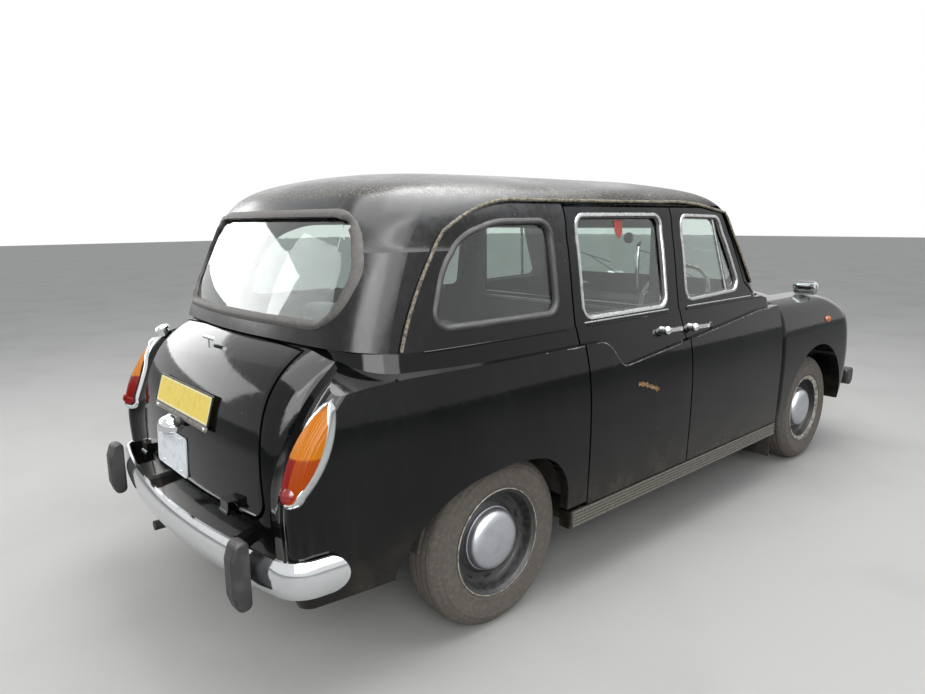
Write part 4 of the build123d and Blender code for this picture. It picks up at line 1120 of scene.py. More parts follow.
@dataclass
class Plate:
    """Blank number plate of pressed metal with a raised border."""
    name: str
    y: float
    z: float
    width: float
    height: float
    corner: float
    finish: Finish
    rim: Finish
    inner_rim: Finish | None = None
    rim_width: float = 0.005
    thick: float = 0.003

    def face(self, skin: Skin) -> Face:
        """Plane that clears the lid behind the plate.

        Args:
            skin: the lid.
        Returns:
            The plane.
        """
        flat = Facing.REAR.value
        half_w, half_h = self.width / 2, self.height / 2
        low = flat.felt(skin, (self.y, self.z - half_h)) or 0.0
        high = flat.felt(skin, (self.y, self.z + half_h)) or 0.0
        up = (flat.v * self.height + flat.out * (high - low)).normalized()
        out = flat.u.cross(up)
        out = out if out.dot(flat.out) > 0 else -out
        centre = flat.point((self.y, self.z), (low + high) / 2)
        plain = Face(centre, flat.u, up, out)
        spots = [(a * half_w, b * half_h) for a in (-1, -0.5, 0, 0.5, 1) for b in (-1, -0.5, 0, 0.5,
                                                                                   1)]
        levels = [plain.felt(skin, spot) for spot in spots]
        lift = max(level for level in levels if level is not None) + 0.0015
        return Face(plain.point((0, 0), lift), flat.u, up, out)

    def build(self, skin: Skin) -> Face:
        """Make the sheet and its borders.

        Args:
            skin: the lid.
        Returns:
            The plane of the plate's back.
        """
        face = self.face(skin)
        half_w, half_h = self.width / 2, self.height / 2
        corners = [(-half_w, -half_h), (half_w, -half_h), (half_w, half_h), (-half_w, half_h)]
        line = spaced(rounded(corners, self.corner), 0.02)
        levels = (0.0, self.thick)
        sheet = capped(grid(self.name, [[face.point(p, level) for p in line] for level in levels],
                            across=False))
        settled(sheet, self.finish, LID)
        inner = [(-self.rim_width, self.thick), (-self.rim_width, self.thick + 0.001),
                 (0.0, self.thick + 0.0022),
                 (0.0015, self.thick + 0.001), (0.0015, -0.0005)]
        rows = [[face.point(Vector(p) + n * offset, height) for offset, height in inner]
                for p, n in zip(line, outward(line))]
        settled(grid(f"{self.name}_border", rows), self.rim, LID)
        if self.inner_rim is not None:
            band = [(-0.012, self.thick - 0.001), (-0.012, self.thick + 0.0006),
                    (-0.006, self.thick + 0.0006),
                    (-0.006, self.thick - 0.001)]
            rows = [[face.point(Vector(p) + n * offset, height) for offset, height in band]
                    for p, n in zip(line, outward(line))]
            settled(grid(f"{self.name}_inner_border", rows), self.inner_rim, LID)
        return face


@dataclass
class LidFurniture:
    """Plates, plate lamp, lock knob, bright edge and screws on the boot lid."""
    lamp_at: Flat = (0.105, 0.800)
    knob_at: Flat = (-0.012, 0.838)

    def build(self) -> None:
        """Make every piece that the lid carries."""
        skin = Skin("boot_lid")
        yellow = Plate("plate_yellow", 0.0, 0.919, 0.520, 0.111, 0.006, YELLOW, BLACK_EDGE_AND_SLOT_SHADE, BORDER)
        white = Plate("plate_white", 0.087, 0.706, 0.305, 0.152, 0.016, WHITE, WHITE)
        face = yellow.build(skin)
        white_face = white.build(skin)
        self.carrier(face)
        self.bolts(white_face)
        self.plate_lamp(skin)
        self.knob(skin)
        self.bottom_strip(skin)

    def carrier(self, face: Face) -> None:
        """Grey metal strip under the yellow plate with a bright screw at each end.

        Args:
            face: the plane of the plate.
        """
        strip = block("plate_carrier", (0, 0, 0), (0.520, 0.018, 0.004), 1.2)
        turn = Matrix((face.u, face.v, face.out)).transposed().to_4x4()
        placed(strip, Matrix.Translation(face.point((0.0, -0.066), 0.001)) @ turn)
        settled(strip, ALUMINIUM, LID)
        profile = [(0.0, 0.004), (0.004, 0.0036), (0.0065, 0.002), (0.007, 0.0), (0.0, 0.0)]
        for name, y in (("right", -0.235), ("left", 0.235)):
            screw = spun(f"plate_screw_{name}", profile, face.point((y, -0.066), 0.003), face.out,
                         20)
            settled(screw, CHROME, LID)

    def bolts(self, face: Face) -> None:
        """Four small screws of the white plate.

        Args:
            face: the plane of the plate.
        """
        profile = [(0.0, 0.003), (0.003, 0.0027), (0.005, 0.0015), (0.0055, 0.0), (0.0, 0.0)]
        screws = [spun(f"white_screw_{i}", profile, face.point((u, v), 0.003), face.out, 16)
                  for i, (u, v) in enumerate(((-0.09, 0.062), (0.09, 0.062), (-0.09, -0.062),
                                              (0.09, -0.062)))]
        settled(joined("white_plate_screws", screws), TRIM, LID)

    def plate_lamp(self, skin: Skin) -> None:
        """Chrome half-dome lamp over the white plate.

        Args:
            skin: the lid.
        """
        flat = Facing.REAR.value
        level = flat.felt(skin, self.lamp_at) or 0.15
        centre = flat.point(self.lamp_at, level - 0.004)
        dome = spun("plate_lamp", [(0.0, 0.052), (0.018, 0.050), (0.034, 0.042), (0.046, 0.028),
                                   (0.052, 0.010),
                                   (0.056, 0.004), (0.056, -0.006), (0.0, -0.006)], centre,
                    flat.out, 48)
        with editing(dome):
            bpy.ops.mesh.select_all(action="SELECT")
            bpy.ops.transform.resize(value=(1.0, 1.25, 0.72), center_override=centre)
        settled(dome, CHROME, LID)
        window = block("plate_lamp_window", (centre.x - 0.026, centre.y, centre.z - 0.034),
                       (0.034, 0.07, 0.006), 2.0)
        settled(window, WHITE, LID)

    def knob(self, skin: Skin) -> None:
        """Black lock knob beside the lamp.

        Args:
            skin: the lid.
        """
        flat = Facing.REAR.value
        level = flat.felt(skin, self.knob_at) or 0.15
        profile = [(0.0, 0.030), (0.012, 0.030), (0.018, 0.026), (0.019, 0.012), (0.014, 0.008),
                   (0.014, 0.002),
                   (0.024, 0.0), (0.024, -0.004), (0.0, -0.004)]
        settled(spun("lid_lock_knob", profile, flat.point(self.knob_at, level), flat.out, 32),
                BLOCK_RUBBER,
                LID)

    def bottom_strip(self, skin: Skin) -> None:
        """Bare bright edge at the lid's lower right corner, outside the hinge.

        Args:
            skin: the lid.
        """
        flat = Facing.REAR.value
        edge = even((-0.448, 0.634), (-0.540, 0.634), 12)
        points = [p - 0.005 * Z for p in flat.laid(skin, edge, 0.0005)]
        settled(tube("lid_edge_bright", points, 0.0022, rings=2), TRIM, LID)


# Wheels
@dataclass
class Wheels:
    """Tyres with grooved tread and ribbed walls, pressed wheels and domed hub caps."""
    axles: Sequence[tuple[str, float, float]] = (("rear", -1.2875, 0.004), ("front", 1.5225, 0.022))
    half_track: float = 0.711
    hub_z: float = 0.338
    steps: int = 72

    def tyre_profile(self) -> list[Flat]:
        """Closed half section of a tyre: radius and offset from its middle, in metres.

        Returns:
            Its points.
        """
        wall = [(0.207, 0.068), (0.215, 0.0735), (0.226, 0.0775), (0.2275, 0.0795),
                (0.2295, 0.0795), (0.231, 0.079),
                (0.252, 0.0825), (0.272, 0.0845), (0.290, 0.0835), (0.2915, 0.0850),
                (0.2945, 0.0845),
                (0.296, 0.0820), (0.308, 0.0775), (0.3095, 0.0785), (0.3125, 0.0772),
                (0.314, 0.0745),
                (0.324, 0.0680), (0.331, 0.0610), (0.335, 0.0540)]
        tread = []
        for middle in (0.040, 0.014, -0.014, -0.040):
            crown = 0.3385 - 0.9 * middle * middle
            tread += [(crown, middle + 0.0030), (crown - 0.006, middle + 0.0022),
                      (crown - 0.006, middle - 0.0022),
                      (crown, middle - 0.0030)]
        other = [(r, -w) for r, w in reversed(wall)]
        inside = [(0.206, -0.060), (0.206, 0.060)]
        return wall + tread + other + inside + [wall[0]]

    def rim_profile(self) -> list[Flat]:
        """Closed half section of a pressed wheel.

        Returns:
            Its points.
        """
        front = [(0.0, 0.020), (0.118, 0.020), (0.136, 0.014), (0.146, 0.008), (0.160, 0.009),
                 (0.172, 0.014),
                 (0.182, 0.018), (0.188, 0.026), (0.1915, 0.040), (0.1930, 0.058), (0.1960, 0.066),
                 (0.2010, 0.070),
                 (0.2050, 0.0745), (0.2095, 0.0775), (0.2130, 0.0765), (0.2140, 0.0740),
                 (0.2120, 0.0720),
                 (0.2090, 0.0680)]
        back = [(0.2080, 0.060), (0.2080, -0.060), (0.2090, -0.0680), (0.2120, -0.0720),
                (0.2140, -0.0740),
                (0.2130, -0.0765), (0.2095, -0.0775), (0.2050, -0.0745), (0.2010, -0.066),
                (0.1970, -0.060),
                (0.2000, -0.030), (0.1960, 0.000), (0.1880, 0.010), (0.172, 0.008), (0.150, -0.004),
                (0.116, 0.002),
                (0.0, 0.002)]
        return front + back

    def cap_profile(self) -> list[Flat]:
        """Domed hub cap with a rolled rim and a shallow step.

        Returns:
            Its points.
        """
        return [(0.0, 0.0745), (0.030, 0.0742), (0.060, 0.0728), (0.084, 0.0700), (0.100, 0.0660),
                (0.1110, 0.0600),
                (0.1180, 0.0520), (0.1215, 0.0430), (0.1230, 0.0340), (0.1250, 0.0300),
                (0.1275, 0.0290),
                (0.1285, 0.0260), (0.1285, 0.0160), (0.1260, 0.0120), (0.0, 0.0190)]

    def painted_slot_shades(self, name: str, centre: Vector, out: Vector) -> Piece:
        """Painted shade for the ventilation slots pressed through the disc round the cap: shallow black
        ovals where the holes would show shadow.

        Args:
            name: the piece's name.
            centre: the wheel's middle.
            out: where its outer face points.
        Returns:
            All slots of one wheel.
        """
        made = []
        for k in range(10):
            turn = 2 * math.pi * k / 10
            slot = block(f"{name}_{k}", (0, 0, 0), (0.036, 0.010, 0.003), 1.4, 2)
            place = Matrix.Translation(Vector((0.0, 0.166, 0.0123)))
            spin = Matrix.Rotation(turn, 4, "Z")
            placed(slot, spin @ place)
            made.append(slot)
        piece = joined(name, made)
        bpy.ops.object.transform_apply()
        facing = out.to_track_quat("Z", "Y").to_matrix().to_4x4()
        return placed(piece, Matrix.Translation(centre) @ facing)

    def build(self) -> None:
        """Make all four wheels."""
        for side, y_sign in SIDES:
            out = Vector((0, y_sign, 0))
            for place, x, width in self.axles:
                tag = f"{place}_{side}"
                body = f"wheel_{tag}_body"
                centre = Vector((x, y_sign * self.half_track, self.hub_z))
                settled(spun(f"tyre_tread_{tag}", self.tyre_profile(), centre, out, self.steps),
                        TYRE, body, 28,
                        (f"tyre_{tag}",))
                settled(spun(f"rim_{tag}", self.rim_profile(), centre, out, self.steps), WHEEL,
                        body, 28,
                        (f"wheel_{tag}",))
                settled(spun(f"hub_cap_{tag}", self.cap_profile(), centre, out, self.steps), CAP,
                        body, 40)
                # Black ovals are painted shade in place of the open slots
                settled(self.painted_slot_shades(f"rim_slots_{tag}", centre, out), BLACK_EDGE_AND_SLOT_SHADE, body)
                lip = [(0.2125 - width, 0.0772 - 0.45 * width),
                       (0.2125 - width, 0.0782 - 0.45 * width),
                       (0.2110, 0.0790), (0.2135, 0.0782), (0.2145, 0.0760), (0.2110, 0.0740)]
                settled(spun(f"rim_lip_{tag}", [*lip, lip[0]], centre, out, self.steps), LIP, body,
                        60)
                valve = tube(f"valve_{tag}", [centre + Vector((0.0, y_sign * 0.018, 0.184)),
                                              centre + Vector((0.0, y_sign * 0.046, 0.176))], 0.004)
                settled(valve, BLOCK_RUBBER, body)


# Doors, wings and roof
@dataclass
class DoorFurniture:
    """Locks and bosses of the handles, weather strips, and a scrape on one rear door."""
    lock_at: Flat = (0.214, 1.028)
    lock_radius: float = 0.020
    scrape: Line = ((-0.491, 0.845), (-0.452, 0.840), (-0.405, 0.823), (-0.362, 0.806),
                    (-0.329, 0.795))
    strip_z: float = 1.138
    bosses: Sequence[tuple[str, float, float, float]] = (("front", 0.016, 0.829, 1.042),
                                                         ("rear", -0.226, 0.826, 1.052))

    def build(self) -> None:
        """Fit out the four doors."""
        for side, y_sign in SIDES:
            face = side_face(y_sign)
            skin = Skin(f"door_front_{side}")
            level = face.felt(skin, self.lock_at)
            profile = [(0.0, 0.007), (0.012, 0.0065), (0.017, 0.0045), (self.lock_radius, 0.0),
                       (self.lock_radius, -0.004), (0.0, -0.004)]
            disc = spun(f"door_lock_{side}", profile, face.point(self.lock_at, level), face.out, 32)
            settled(disc, BLACK_EDGE_AND_SLOT_SHADE, f"door_front_{side}_body")
            slit = block(f"door_key_slit_{side}", face.point(self.lock_at, level + 0.0068),
                         (0.010, 0.003, 0.0025), 0.6, 2)
            settled(slit, CHROME, f"door_front_{side}_body")
            for place, x, y, z in self.bosses:
                knob = spun(f"handle_boss_{place}_{side}",
                            [(0.0, 0.019), (0.009, 0.018), (0.016, 0.014), (0.0205, 0.007),
                             (0.0215, 0.0), (0.0200, -0.006),
                             (0.0165, -0.008), (0.0, -0.008)], Vector((x, y_sign * y, z)), face.out,
                            32)
                settled(knob, CHROME, f"door_{place}_{side}_body")
            for place, low, high in (("front", 0.035, 0.700), ("rear", -0.770, -0.135)):
                self.weather_strip(f"weather_strip_{place}_{side}", Skin(f"door_{place}_{side}"),
                                   face, low, high,
                                   f"door_{place}_{side}_body")
        self.scratch()

    def weather_strip(self, name: str, skin: Skin, face: Face, low: float, high: float,
                      body: str) -> None:
        """Bright channel along the foot of the window, as one round strip."""
        points = face.laid(skin, even((low, self.strip_z), (high, self.strip_z), 16), 0.001)
        settled(tube(name, points, 0.0042, rings=2), TRIM, body, 60)

    def scratch(self) -> None:
        """Rusty scrape on the right rear door: a thin ragged patch on the skin."""
        face = side_face(-1)
        skin = Skin("door_rear_right")
        upper, lower = [], []
        for k, flat in enumerate(spaced_open(self.scrape, 0.008)):
            half = 0.0085 + 0.0040 * math.sin(2.3 * k) + 0.0026 * math.sin(5.1 * k)
            for row, shift in ((upper, half), (lower, -half)):
                spot = (flat[0], flat[1] + shift)
                row.append(face.point(spot, (face.felt(skin, spot) or 0.05) + 0.0006))
        deep = [[p - face.out * 0.002 for p in row] for row in (lower, upper)]
        piece = capped(grid("door_scrape", [upper, lower, *deep], around=False))
        settled(piece, RUST, "door_rear_right_body")


def spaced_open(line: Line, pitch: float) -> list[Flat]:
    """Points along an open line, no further apart than pitch.

    Args:
        line: the outline points.
        pitch: greatest distance.
    Returns:
        The points.
    """
    made: list[Flat] = []
    for a, b in zip(line, line[1:]):
        start, end = Vector(a), Vector(b)
        parts = max(1, math.ceil((end - start).length / pitch))
        made += [tuple(start.lerp(end, k / parts)) for k in range(parts)]
    return made + [tuple(line[-1])]


@dataclass
class WaistMouldings:
    """Thin raised line along the waist of each side, broken where the doors part."""
    z: float = 1.1255
    radius: float = 0.0045
    pitch: float = 0.05
    deepest: float = -0.12

    def run(self, name: str, node: str, body: str, y_sign: int, x0: float, x1: float) -> None:
        """Lay one length on a node.

        Args:
            name: the piece's name.
            node: the panel's CAD node.
            body: the CAD body that it rides on.
            y_sign: side of the cab, -1 or 1.
            x0: where it starts.
            x1: where it ends.
        """
        line = even((x0, self.z), (x1, self.z), int((x1 - x0) / self.pitch))
        points = side_face(y_sign).laid(Skin(node), line, 0.0, self.deepest)
        settled(tube(name, points, self.radius, rings=2), PAINT, body, 60)

    def build(self) -> None:
        """Lay one length on each panel."""
        for side, y_sign in SIDES:
            self.run(f"waist_line_rear_{side}", f"door_rear_{side}", f"door_rear_{side}_body",
                     y_sign, -0.752, -0.122)
            self.run(f"waist_line_front_{side}", f"door_front_{side}", f"door_front_{side}_body",
                     y_sign, 0.022, 0.868)
            self.run(f"waist_line_quarter_{side}", f"rear_quarter_{side}", "body", y_sign, -1.62,
                     -0.775)


@dataclass
class WingEdges:
    """Rolled top edge of the rear wings, and of the wing line that runs on over the doors."""
    radius: float = 0.0045
    step: float = 0.002
    jump: float = 0.004
    pitch: float = 0.012
    high: float = 1.090
    low: float = 0.920

    def crest(self, face: Face, skin: Skin, x: float) -> Vector | None:
        """Place of the rolled edge at x, where the skin stands out sharply below its upper part.

        Args:
            face: the side's plane.
            skin: the panel.
            x: place along the cab.
        Returns:
            The place, or None where the panel has no such edge.
        """
        above: float | None = None
        for k in range(int((self.high - self.low) / self.step)):
            z = self.high - self.step * k
            level = face.felt(skin, (x, z))
            if level is not None and above is not None and level - above > self.jump:
                return face.point((x, z - self.radius), level - self.radius * 0.5)
            above = level
        return None

    def build(self) -> None:
        """Lay the edge on both sides, one length for each panel."""
        for side, y_sign in SIDES:
            face = side_face(y_sign)
            for node, body, x0, x1 in ((f"rear_quarter_{side}", "body", -1.90, -0.797),
                                       (f"door_rear_{side}", f"door_rear_{side}_body", -0.752,
                                        -0.125),
                                       (f"door_front_{side}", f"door_front_{side}_body", 0.026,
                                        0.864)):
                skin = Skin(node)
                parts = int((x1 - x0) / self.pitch)
                found = [self.crest(face, skin,
                                    x0 + (x1 - x0) * k / parts) for k in range(parts + 1)]
                points = [p for p in found if p is not None]
                # The edge's pale finish is rubbed paint and painted highlight together
                settled(tube(f"wing_edge_{node}", points, self.radius, rings=2), WORN_EDGE_AND_HIGHLIGHT, body,
                        60)


@dataclass
class MudFlaps:
    """Flat flaps that hang from the front wings behind the wheels."""
    x: float = 1.100
    y: float = 0.667
    width: float = 0.190
    top: float = 0.352
    foot: float = 0.100
    thick: float = 0.005

    def build(self) -> None:
        """Make one flap a side, each with its clamping strip."""
        for side, y_sign in SIDES:
            middle = (self.top + self.foot) / 2
            flap = block(f"mud_flap_{side}", (self.x, y_sign * self.y, middle),
                         (self.thick, self.width, self.top - self.foot), 1.5, 2)
            settled(flap, UNDER, "body")
            strip = block(f"mud_flap_strip_{side}", (self.x - 0.006, y_sign * self.y,
                                                     self.top - 0.016),
                          (0.006, self.width - 0.010, 0.022), 1.5, 2)
            settled(strip, ALUMINIUM, "body")


@dataclass
class WingMarks:
    """Filler cap on the left rear wing and amber repeaters on the front wings."""
    cap_at: Spot = (-1.972, 0.742, 1.4)
    cap_radius: float = 0.034
    repeater_x: float = 1.605
    repeater_z: float = 0.925

    def build(self) -> None:
        """Make the small pieces on the wings."""
        skin = Skin("rear_quarter_left", "tail_panel", "roof_shell")
        found = skin.hit(Vector(self.cap_at), Vector((0, 0, -1)))
        if found:
            out = Vector((-0.45, 0.15, 1.0)).normalized()
            profile = [(0.0, 0.040), (0.016, 0.039), (0.028, 0.035), (self.cap_radius, 0.027),
                       (self.cap_radius, 0.016),
                       (0.024, 0.014), (0.024, -0.016), (0.0, -0.016)]
            settled(spun("filler_cap", profile, found, out, 36), CHROME, "body")
        for side, y_sign in SIDES:
            face = side_face(y_sign)
            level = face.felt(Skin(f"front_wing_{side}"), (self.repeater_x, self.repeater_z))
            if level is None:
                continue
            lamp = spun(f"side_repeater_{side}",
                        [(0.0, 0.016), (0.008, 0.0155), (0.015, 0.012), (0.020, 0.004),
                         (0.020, -0.004), (0.0, -0.004)],
                        Vector((0, 0, 0)), face.out, 32)
            placed(lamp, Matrix.Translation(face.point((self.repeater_x, self.repeater_z), level)) @
                   Matrix.Diagonal((1.6, 1.0, 1.0, 1.0)))
            settled(lamp, AMBER_LENS, "body")


@dataclass
class Front:
    """Headlamp rims, the glass of the wing mirrors and the wipers."""
    lamp_x: float = 2.151
    lamp_y: float = 0.655
    lamp_z: float = 0.8
    mirror_at: Spot = (1.5095, 0.735, 1.122)

    def build(self) -> None:
        """Make the front's small pieces."""
        for side, y_sign in SIDES:
            centre = Vector((self.lamp_x, y_sign * self.lamp_y, self.lamp_z))
            rim = spun(f"headlamp_rim_{side}",
                       [(0.090, 0.018), (0.092, 0.024), (0.097, 0.026), (0.103, 0.022),
                        (0.107, 0.012),
                        (0.108, 0.000), (0.1045, 0.000), (0.1045, 0.0165), (0.090, 0.018)], centre,
                       X, 64)
            settled(rim, CHROME, "body")
            x, y, z = self.mirror_at
            glass = block(f"mirror_glass_{side}", (x, y_sign * y, z), (0.004, 0.130, 0.066), 1.8, 2)
            settled(glass, MIRROR, "body")
        self.wipers()

    def wipers(self) -> None:
        """Two arms with blades resting on the windscreen."""
        glass = Skin("fixed_windows")
        flat = Facing.FRONT.value
        for name, foot, head, blade in (("right", (-0.36, 1.188), (-0.13, 1.330),
                                         ((-0.30, 1.285), (0.02, 1.375))),
                                        ("left", (0.22, 1.188), (0.42, 1.330),
                                         ((0.26, 1.285), (0.56, 1.375)))):
            pieces = []
            for ends, lift, radius in (((foot, head), 0.020, 0.0035), (blade, 0.010, 0.0045)):
                points = flat.laid(glass, even(*ends, 8), lift)
                pieces.append(tube(f"wiper_{name}_{len(pieces)}", points, radius, rings=2))
            settled(joined(f"wiper_{name}", pieces), TRIM_BLACK, "body", 60)


# Cabin
@dataclass
class Cushions:
    """Crowned, channelled seat cushions sewn from leathercloth."""
    cell: float = 0.018

    def pad(self, name: str, low: Vector, high: Vector, crown: Vector, channels: int, along: int,
            lean: float = 0.0) -> Piece:
        """Cushion whose faces swell between its seams.

        Args:
            name: the piece's name.
            low: least corner of the box that it fills.
            high: greatest corner.
            crown: swell of the faces across each axis, in metres.
            channels: number of sewn channels.
            along: axis, 0 to 2, across which the channels are counted.
            lean: shift of the top along x, in metres.
        Returns:
            The cushion.
        """
        centre, size = (low + high) / 2, high - low
        piece = primitive(bpy.ops.mesh.primitive_cube_add, name, size=1.0, location=centre)
        piece.scale = size
        bpy.ops.object.transform_apply()
        with editing(piece):
            bpy.ops.mesh.select_all(action="SELECT")
            bpy.ops.mesh.subdivide(number_cuts=max(10, int(max(size) / self.cell)))
        half = size / 2
        soft = 0.030
        for vertex in piece.data.vertices:
            place = vertex.co - centre
            share = [abs(place[i]) / half[i] for i in range(3)]
            face = max(range(3), key=lambda i: share[i])
            others = [i for i in range(3) if i != face]
            swell = crown[face] * math.prod(max(0.0, 1 - share[i] ** 4) for i in others)
            if face != along:
                phase = (place[along] / size[along] + 0.5) * channels
                near = abs(phase - round(phase))
                edge = min(1.0, min(half[i] * (1 - share[i]) for i in others) / soft)
                if 0 < round(phase) < channels:
                    swell -= 0.010 * math.exp(-(near * size[along] / channels / 0.010) ** 2) * edge
            for i in others:
                gap = half[i] - abs(place[i])
                if gap < soft:
                    swell -= soft * (1 - math.sqrt(max(0.0, 1 - (1 - gap / soft) ** 2))) * 0.8
            sign = 1 if place[face] > 0 else -1
            moved = place.copy()
            moved[face] += sign * swell
            moved.x += lean * (place.z / size.z + 0.5)
            vertex.co = centre + moved
        with editing(piece):
            bpy.ops.mesh.select_all(action="SELECT")
            bpy.ops.mesh.remove_doubles(threshold=0.0004)
            bpy.ops.mesh.vertices_smooth(factor=0.5, repeat=2)
            bpy.ops.mesh.normals_make_consistent(inside=False)
        return piece

    def build(self) -> None:
        """Make the bench, the driver's seat and the two tip-up seats."""
        bench = self.pad("rear_bench_cushion", Vector((-1.190, -0.552, 0.570)),
                         Vector((-0.712, 0.552, 0.735)),
                         Vector((0.008, 0.004, 0.022)), 9, 1)
        settled(bench, VINYL, "body", 60, ("rear_seat",))
        back = self.pad("rear_bench_back", Vector((-1.330, -0.552, 0.600)),
                        Vector((-1.205, 0.552, 1.165)),
                        Vector((0.018, 0.004, 0.010)), 9, 1, -0.030)
        settled(back, VINYL, "body", 60)
        seat = self.pad("driver_cushion", Vector((0.100, -0.628, 0.500)),
                        Vector((0.545, -0.172, 0.632)),
                        Vector((0.006, 0.006, 0.020)), 5, 1)
        settled(seat, VINYL, "body", 60, ("driver_seat",))
        base = block("driver_seat_base", (0.315, -0.40, 0.415), (0.42, 0.44, 0.166), 8.0)
        settled(base, TRIM_BLACK, "body")
        rest = self.pad("driver_backrest", Vector((0.030, -0.628, 0.610)),
                        Vector((0.125, -0.172, 1.060)),
                        Vector((0.012, 0.006, 0.008)), 5, 1, -0.014)
        settled(rest, VINYL, "body", 60)
        for side, y_sign in SIDES:
            low_y, high_y = sorted((y_sign * 0.176, y_sign * 0.554))
            tip = self.pad(f"tip_up_seat_{side}", Vector((-0.130, low_y, 0.572)),
                           Vector((-0.068, high_y, 0.930)),
                           Vector((0.008, 0.004, 0.004)), 4, 1)
            settled(tip, VINYL, "body", 60, ("tip_up_seats",) if y_sign < 0 else ())
            hinge = tube(f"tip_up_hinge_{side}", [Vector((-0.066, low_y + 0.02, 0.566)),
                                                  Vector((-0.066, high_y - 0.02, 0.566))], 0.009)
            settled(hinge, CHROME, "body")


@dataclass
class CabinFittings:
    """Grab rail, partition glass, disc and strip, and dials."""
    rail_x: float = -0.075
    rail_y: float = -0.545

    def build(self) -> None:
        """Make the cabin's small pieces."""
        rail = [Vector((self.rail_x + dx, self.rail_y, z)) for dx, z in
                ((0.022, 1.178), (0.006, 1.186), (0.0, 1.200), (0.0, 1.420), (0.006, 1.436),
                 (0.022, 1.444))]
        settled(tube("grab_rail", rail, 0.0105), CHROME, "body", 60)
        disc = spun("partition_disc", [(0.0, 0.012), (0.020, 0.011), (0.027, 0.006), (0.028, 0.0),
                                       (0.0, 0.0)],
                    Vector((-0.0565, -0.475, 1.470)), Vector((-1, 0, 0)), 32)
        settled(disc, BLACK_EDGE_AND_SLOT_SHADE, "body")
        for side, y_sign in SIDES:
            pane = block(f"partition_glass_{side}", (-0.038, y_sign * 0.315, 1.325),
                         (0.005, 0.566, 0.386), 1.0, 1)
            settled(pane, GLASS, "body")
        strip = block("partition_strip", (-0.062, 0.0, 1.100), (0.008, 1.20, 0.024), 2.5)
        settled(strip, ALUMINIUM, "body")
        self.dials()

    def dials(self) -> None:
        """Plain dial faces with bright rims on the dashboard, without any words."""
        spots = [(-0.50, 1.045, 0.036), (-0.38, 1.045, 0.050), (-0.26, 1.045, 0.036)]
        skin = Skin("dashboard")
        for i, (y, z, radius) in enumerate(spots):
            found = skin.hit(Vector((0.5, y, z)), Vector((1, 0, 0)))
            if found is None:
                continue
            out = Vector((-1, 0, 0.15)).normalized()
            rim = spun(f"dial_rim_{i}", [(radius - 0.004, 0.004), (radius - 0.002, 0.012),
                                         (radius + 0.002, 0.010),
                                         (radius + 0.003, -0.012), (radius - 0.004, -0.012),
                                         (radius - 0.004, 0.004)],
                       found, out, 40)
            settled(rim, TRIM, "body")
            face = spun(f"dial_face_{i}", [(0.0, 0.004), (radius - 0.003, 0.004),
                                           (radius - 0.003, -0.012),
                                           (0.0, -0.012)], found, out, 40)
            settled(face, DIAL, "body")


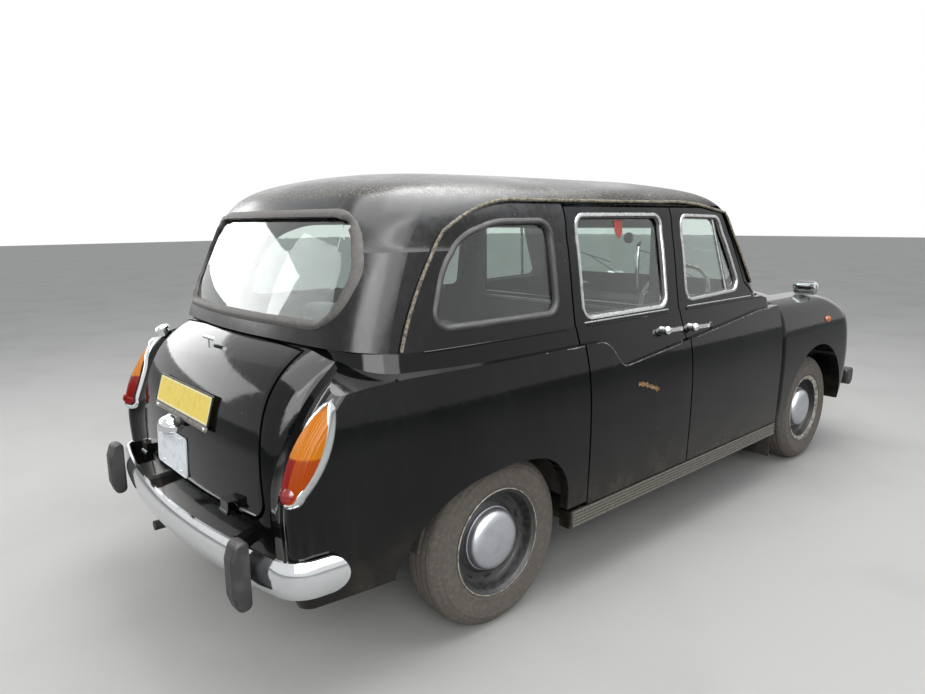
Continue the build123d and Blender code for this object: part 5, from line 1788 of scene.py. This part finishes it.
# The studio
@dataclass
class Studio:
    """Plain pale floor, soft light and the camera at the photograph's angle."""
    camera_at: Vector = Vector((-3.0215, -2.539, 1.561))
    yaw: float = math.radians(48.43)
    pitch: float = math.radians(10.45)
    roll: float = math.radians(-0.5)
    lens: float = 26.54
    sensor: float = 36.0
    floor_half: float = 60.0

    def build(self) -> None:
        """Set up floor, world, lamps, camera and view settings."""
        self.floor()
        self.world()
        self.lamps()
        self.camera()
        bpy.context.scene.view_settings.view_transform = "Standard"

    def floor(self) -> None:
        """One large pale plane, kept out of the part."""
        plane = primitive(bpy.ops.mesh.primitive_plane_add, "studio_floor",
                          size=2 * self.floor_half)
        plain = Finish("floor_painted_pale", "trim_plastic", "#c9c8c5", "#c3c2bf", 0.85, 0.05,
                       900.0, specular=0.1,
                       bump_depth_mm=0.0)
        plane.data.materials.append(plain.material())

    def world(self) -> None:
        """White to the camera, mirrors and glass; a soft grey as light."""
        world = bpy.data.worlds.new("studio")
        bpy.context.scene.world = world
        world.use_nodes = True
        tree = world.node_tree
        tree.nodes.clear()
        path = add_node(tree, "LightPath")
        seen = combine(tree, "MAXIMUM", path.outputs["Is Camera Ray"],
                       path.outputs["Is Glossy Ray"])
        seen = combine(tree, "MAXIMUM", seen, path.outputs["Is Transmission Ray"])
        light = add_node(tree, "Background", {"Color": linear("#eef2f6"), "Strength": 0.55})
        white = add_node(tree, "Background", {"Color": (1.0, 1.0, 1.0, 1.0), "Strength": 1.0})
        mix = add_node(tree, "MixShader", links={0: seen, 1: light.outputs[0], 2: white.outputs[0]})
        add_node(tree, "OutputWorld", links={0: mix.outputs[0]})

    def lamps(self) -> None:
        """Hang the soft panels; only the cab's gloss shows those named panel_gloss, as it would sky."""
        panels = (
            ("panel_over", (0.5, -0.5, 5.5), (6.0, 4.0), 210.0, (0.0, 0.0, 0.4)),
            ("panel_camera", (-4.5, -5.0, 3.6), (3.5, 2.5), 120.0, (-0.3, 0.0, 0.8)),
            ("panel_rear", (-5.5, 3.0, 3.2), (3.0, 2.2), 90.0, (-0.8, 0.0, 0.8)),
            ("panel_gloss", (-3.7, 6.5, 3.1), (6.0, 2.3), 165.0, (-2.0, 0.0, 1.2)),
            ("panel_gloss_high", (3.0, 8.0, 8.5), (18.0, 12.0), 230.0, (0.0, 0.0, 1.2)),
            ("panel_gloss_over", (-1.2, -2.2, 7.0), (11.0, 11.0), 2300.0, (-1.2, -1.4, 0.8)),
            ("panel_gloss_side", (-10.0, -16.0, 10.8), (26.0, 12.0), 5900.0, (-10.0, 0.0, 10.8)),
        )
        for name, place, size, power, aim in panels:
            lamp = bpy.data.lights.new(name, "AREA")
            lamp.shape = "RECTANGLE"
            lamp.size, lamp.size_y = size
            lamp.energy = power
            holder = bpy.data.objects.new(name, lamp)
            holder.visible_camera = False
            holder.visible_glossy = name != "panel_rear"
            holder.visible_diffuse = not name.startswith("panel_gloss")
            holder.location = place
            holder.rotation_euler = (Vector(aim) - Vector(place)).to_track_quat("-Z",
                                                                                "Y").to_euler()
            bpy.context.scene.collection.objects.link(holder)

    def camera(self) -> None:
        """Stand the camera where the photograph was taken."""
        lens = bpy.data.cameras.new("camera")
        lens.lens = self.lens
        lens.sensor_width = self.sensor
        forward = Vector((math.cos(self.yaw) * math.cos(self.pitch),
                          math.sin(self.yaw) * math.cos(self.pitch),
                          -math.sin(self.pitch)))
        right = Vector((math.sin(self.yaw), -math.cos(self.yaw), 0.0))
        up = right.cross(forward)
        side = right * math.cos(self.roll) + up * math.sin(self.roll)
        top = up * math.cos(self.roll) - right * math.sin(self.roll)
        holder = bpy.data.objects.new("camera", lens)
        turn = Matrix((side, top, -forward)).transposed().to_4x4()
        holder.matrix_world = Matrix.Translation(self.camera_at) @ turn
        bpy.context.scene.collection.objects.link(holder)
        bpy.context.scene.camera = holder


# Pieces carried over from the CAD
@dataclass
class CarriedNodes:
    """The CAD nodes that keep their shape and get a real finish."""
    iron_y: Flat = (0.375, 0.425)
    iron_x: float = -2.20

    def build(self) -> None:
        """Give each node its own finish or that of its slot."""
        slot_of = {part["node"]: part["material_slot"] for part in frame["record"]["subparts"]}
        for name, node in frame["nodes"].items():
            finish = OWN_FINISH.get(name) or FINISH_OF_SLOT.get(slot_of.get(name), PAINT)
            node.data.materials.clear()
            node.data.materials.append(finish.material())
        self.paint_irons(frame["nodes"]["rear_bumper"])
        LOG.info("finishes set on %d CAD nodes", len(frame["nodes"]))

    def paint_irons(self, bumper: Piece) -> None:
        """Give the bumper's square irons the chassis black; the blade stays chrome.

        Args:
            bumper: the bumper's CAD node.
        """
        bumper.data.materials.append(UNDER.material())
        for face in bumper.data.polygons:
            x, y, _ = face.center
            beside = self.iron_y[0] < abs(y) < self.iron_y[1]
            if beside and x > self.iron_x and abs(face.normal.x) < 0.9:
                face.material_index = 1


def main() -> None:
    """Build every sub-assembly in order."""
    logging.basicConfig(level=logging.INFO, format="%(message)s")
    for assembly in (Studio, CarriedNodes, FixedWindows, DoorWindows, DripRails, TailLamps,
                     LidFurniture,
                     Wheels, DoorFurniture, WaistMouldings, WingEdges, MudFlaps, WingMarks, Front,
                     Cushions, CabinFittings):
        assembly().build()


if __name__ == "__main__":
    main()
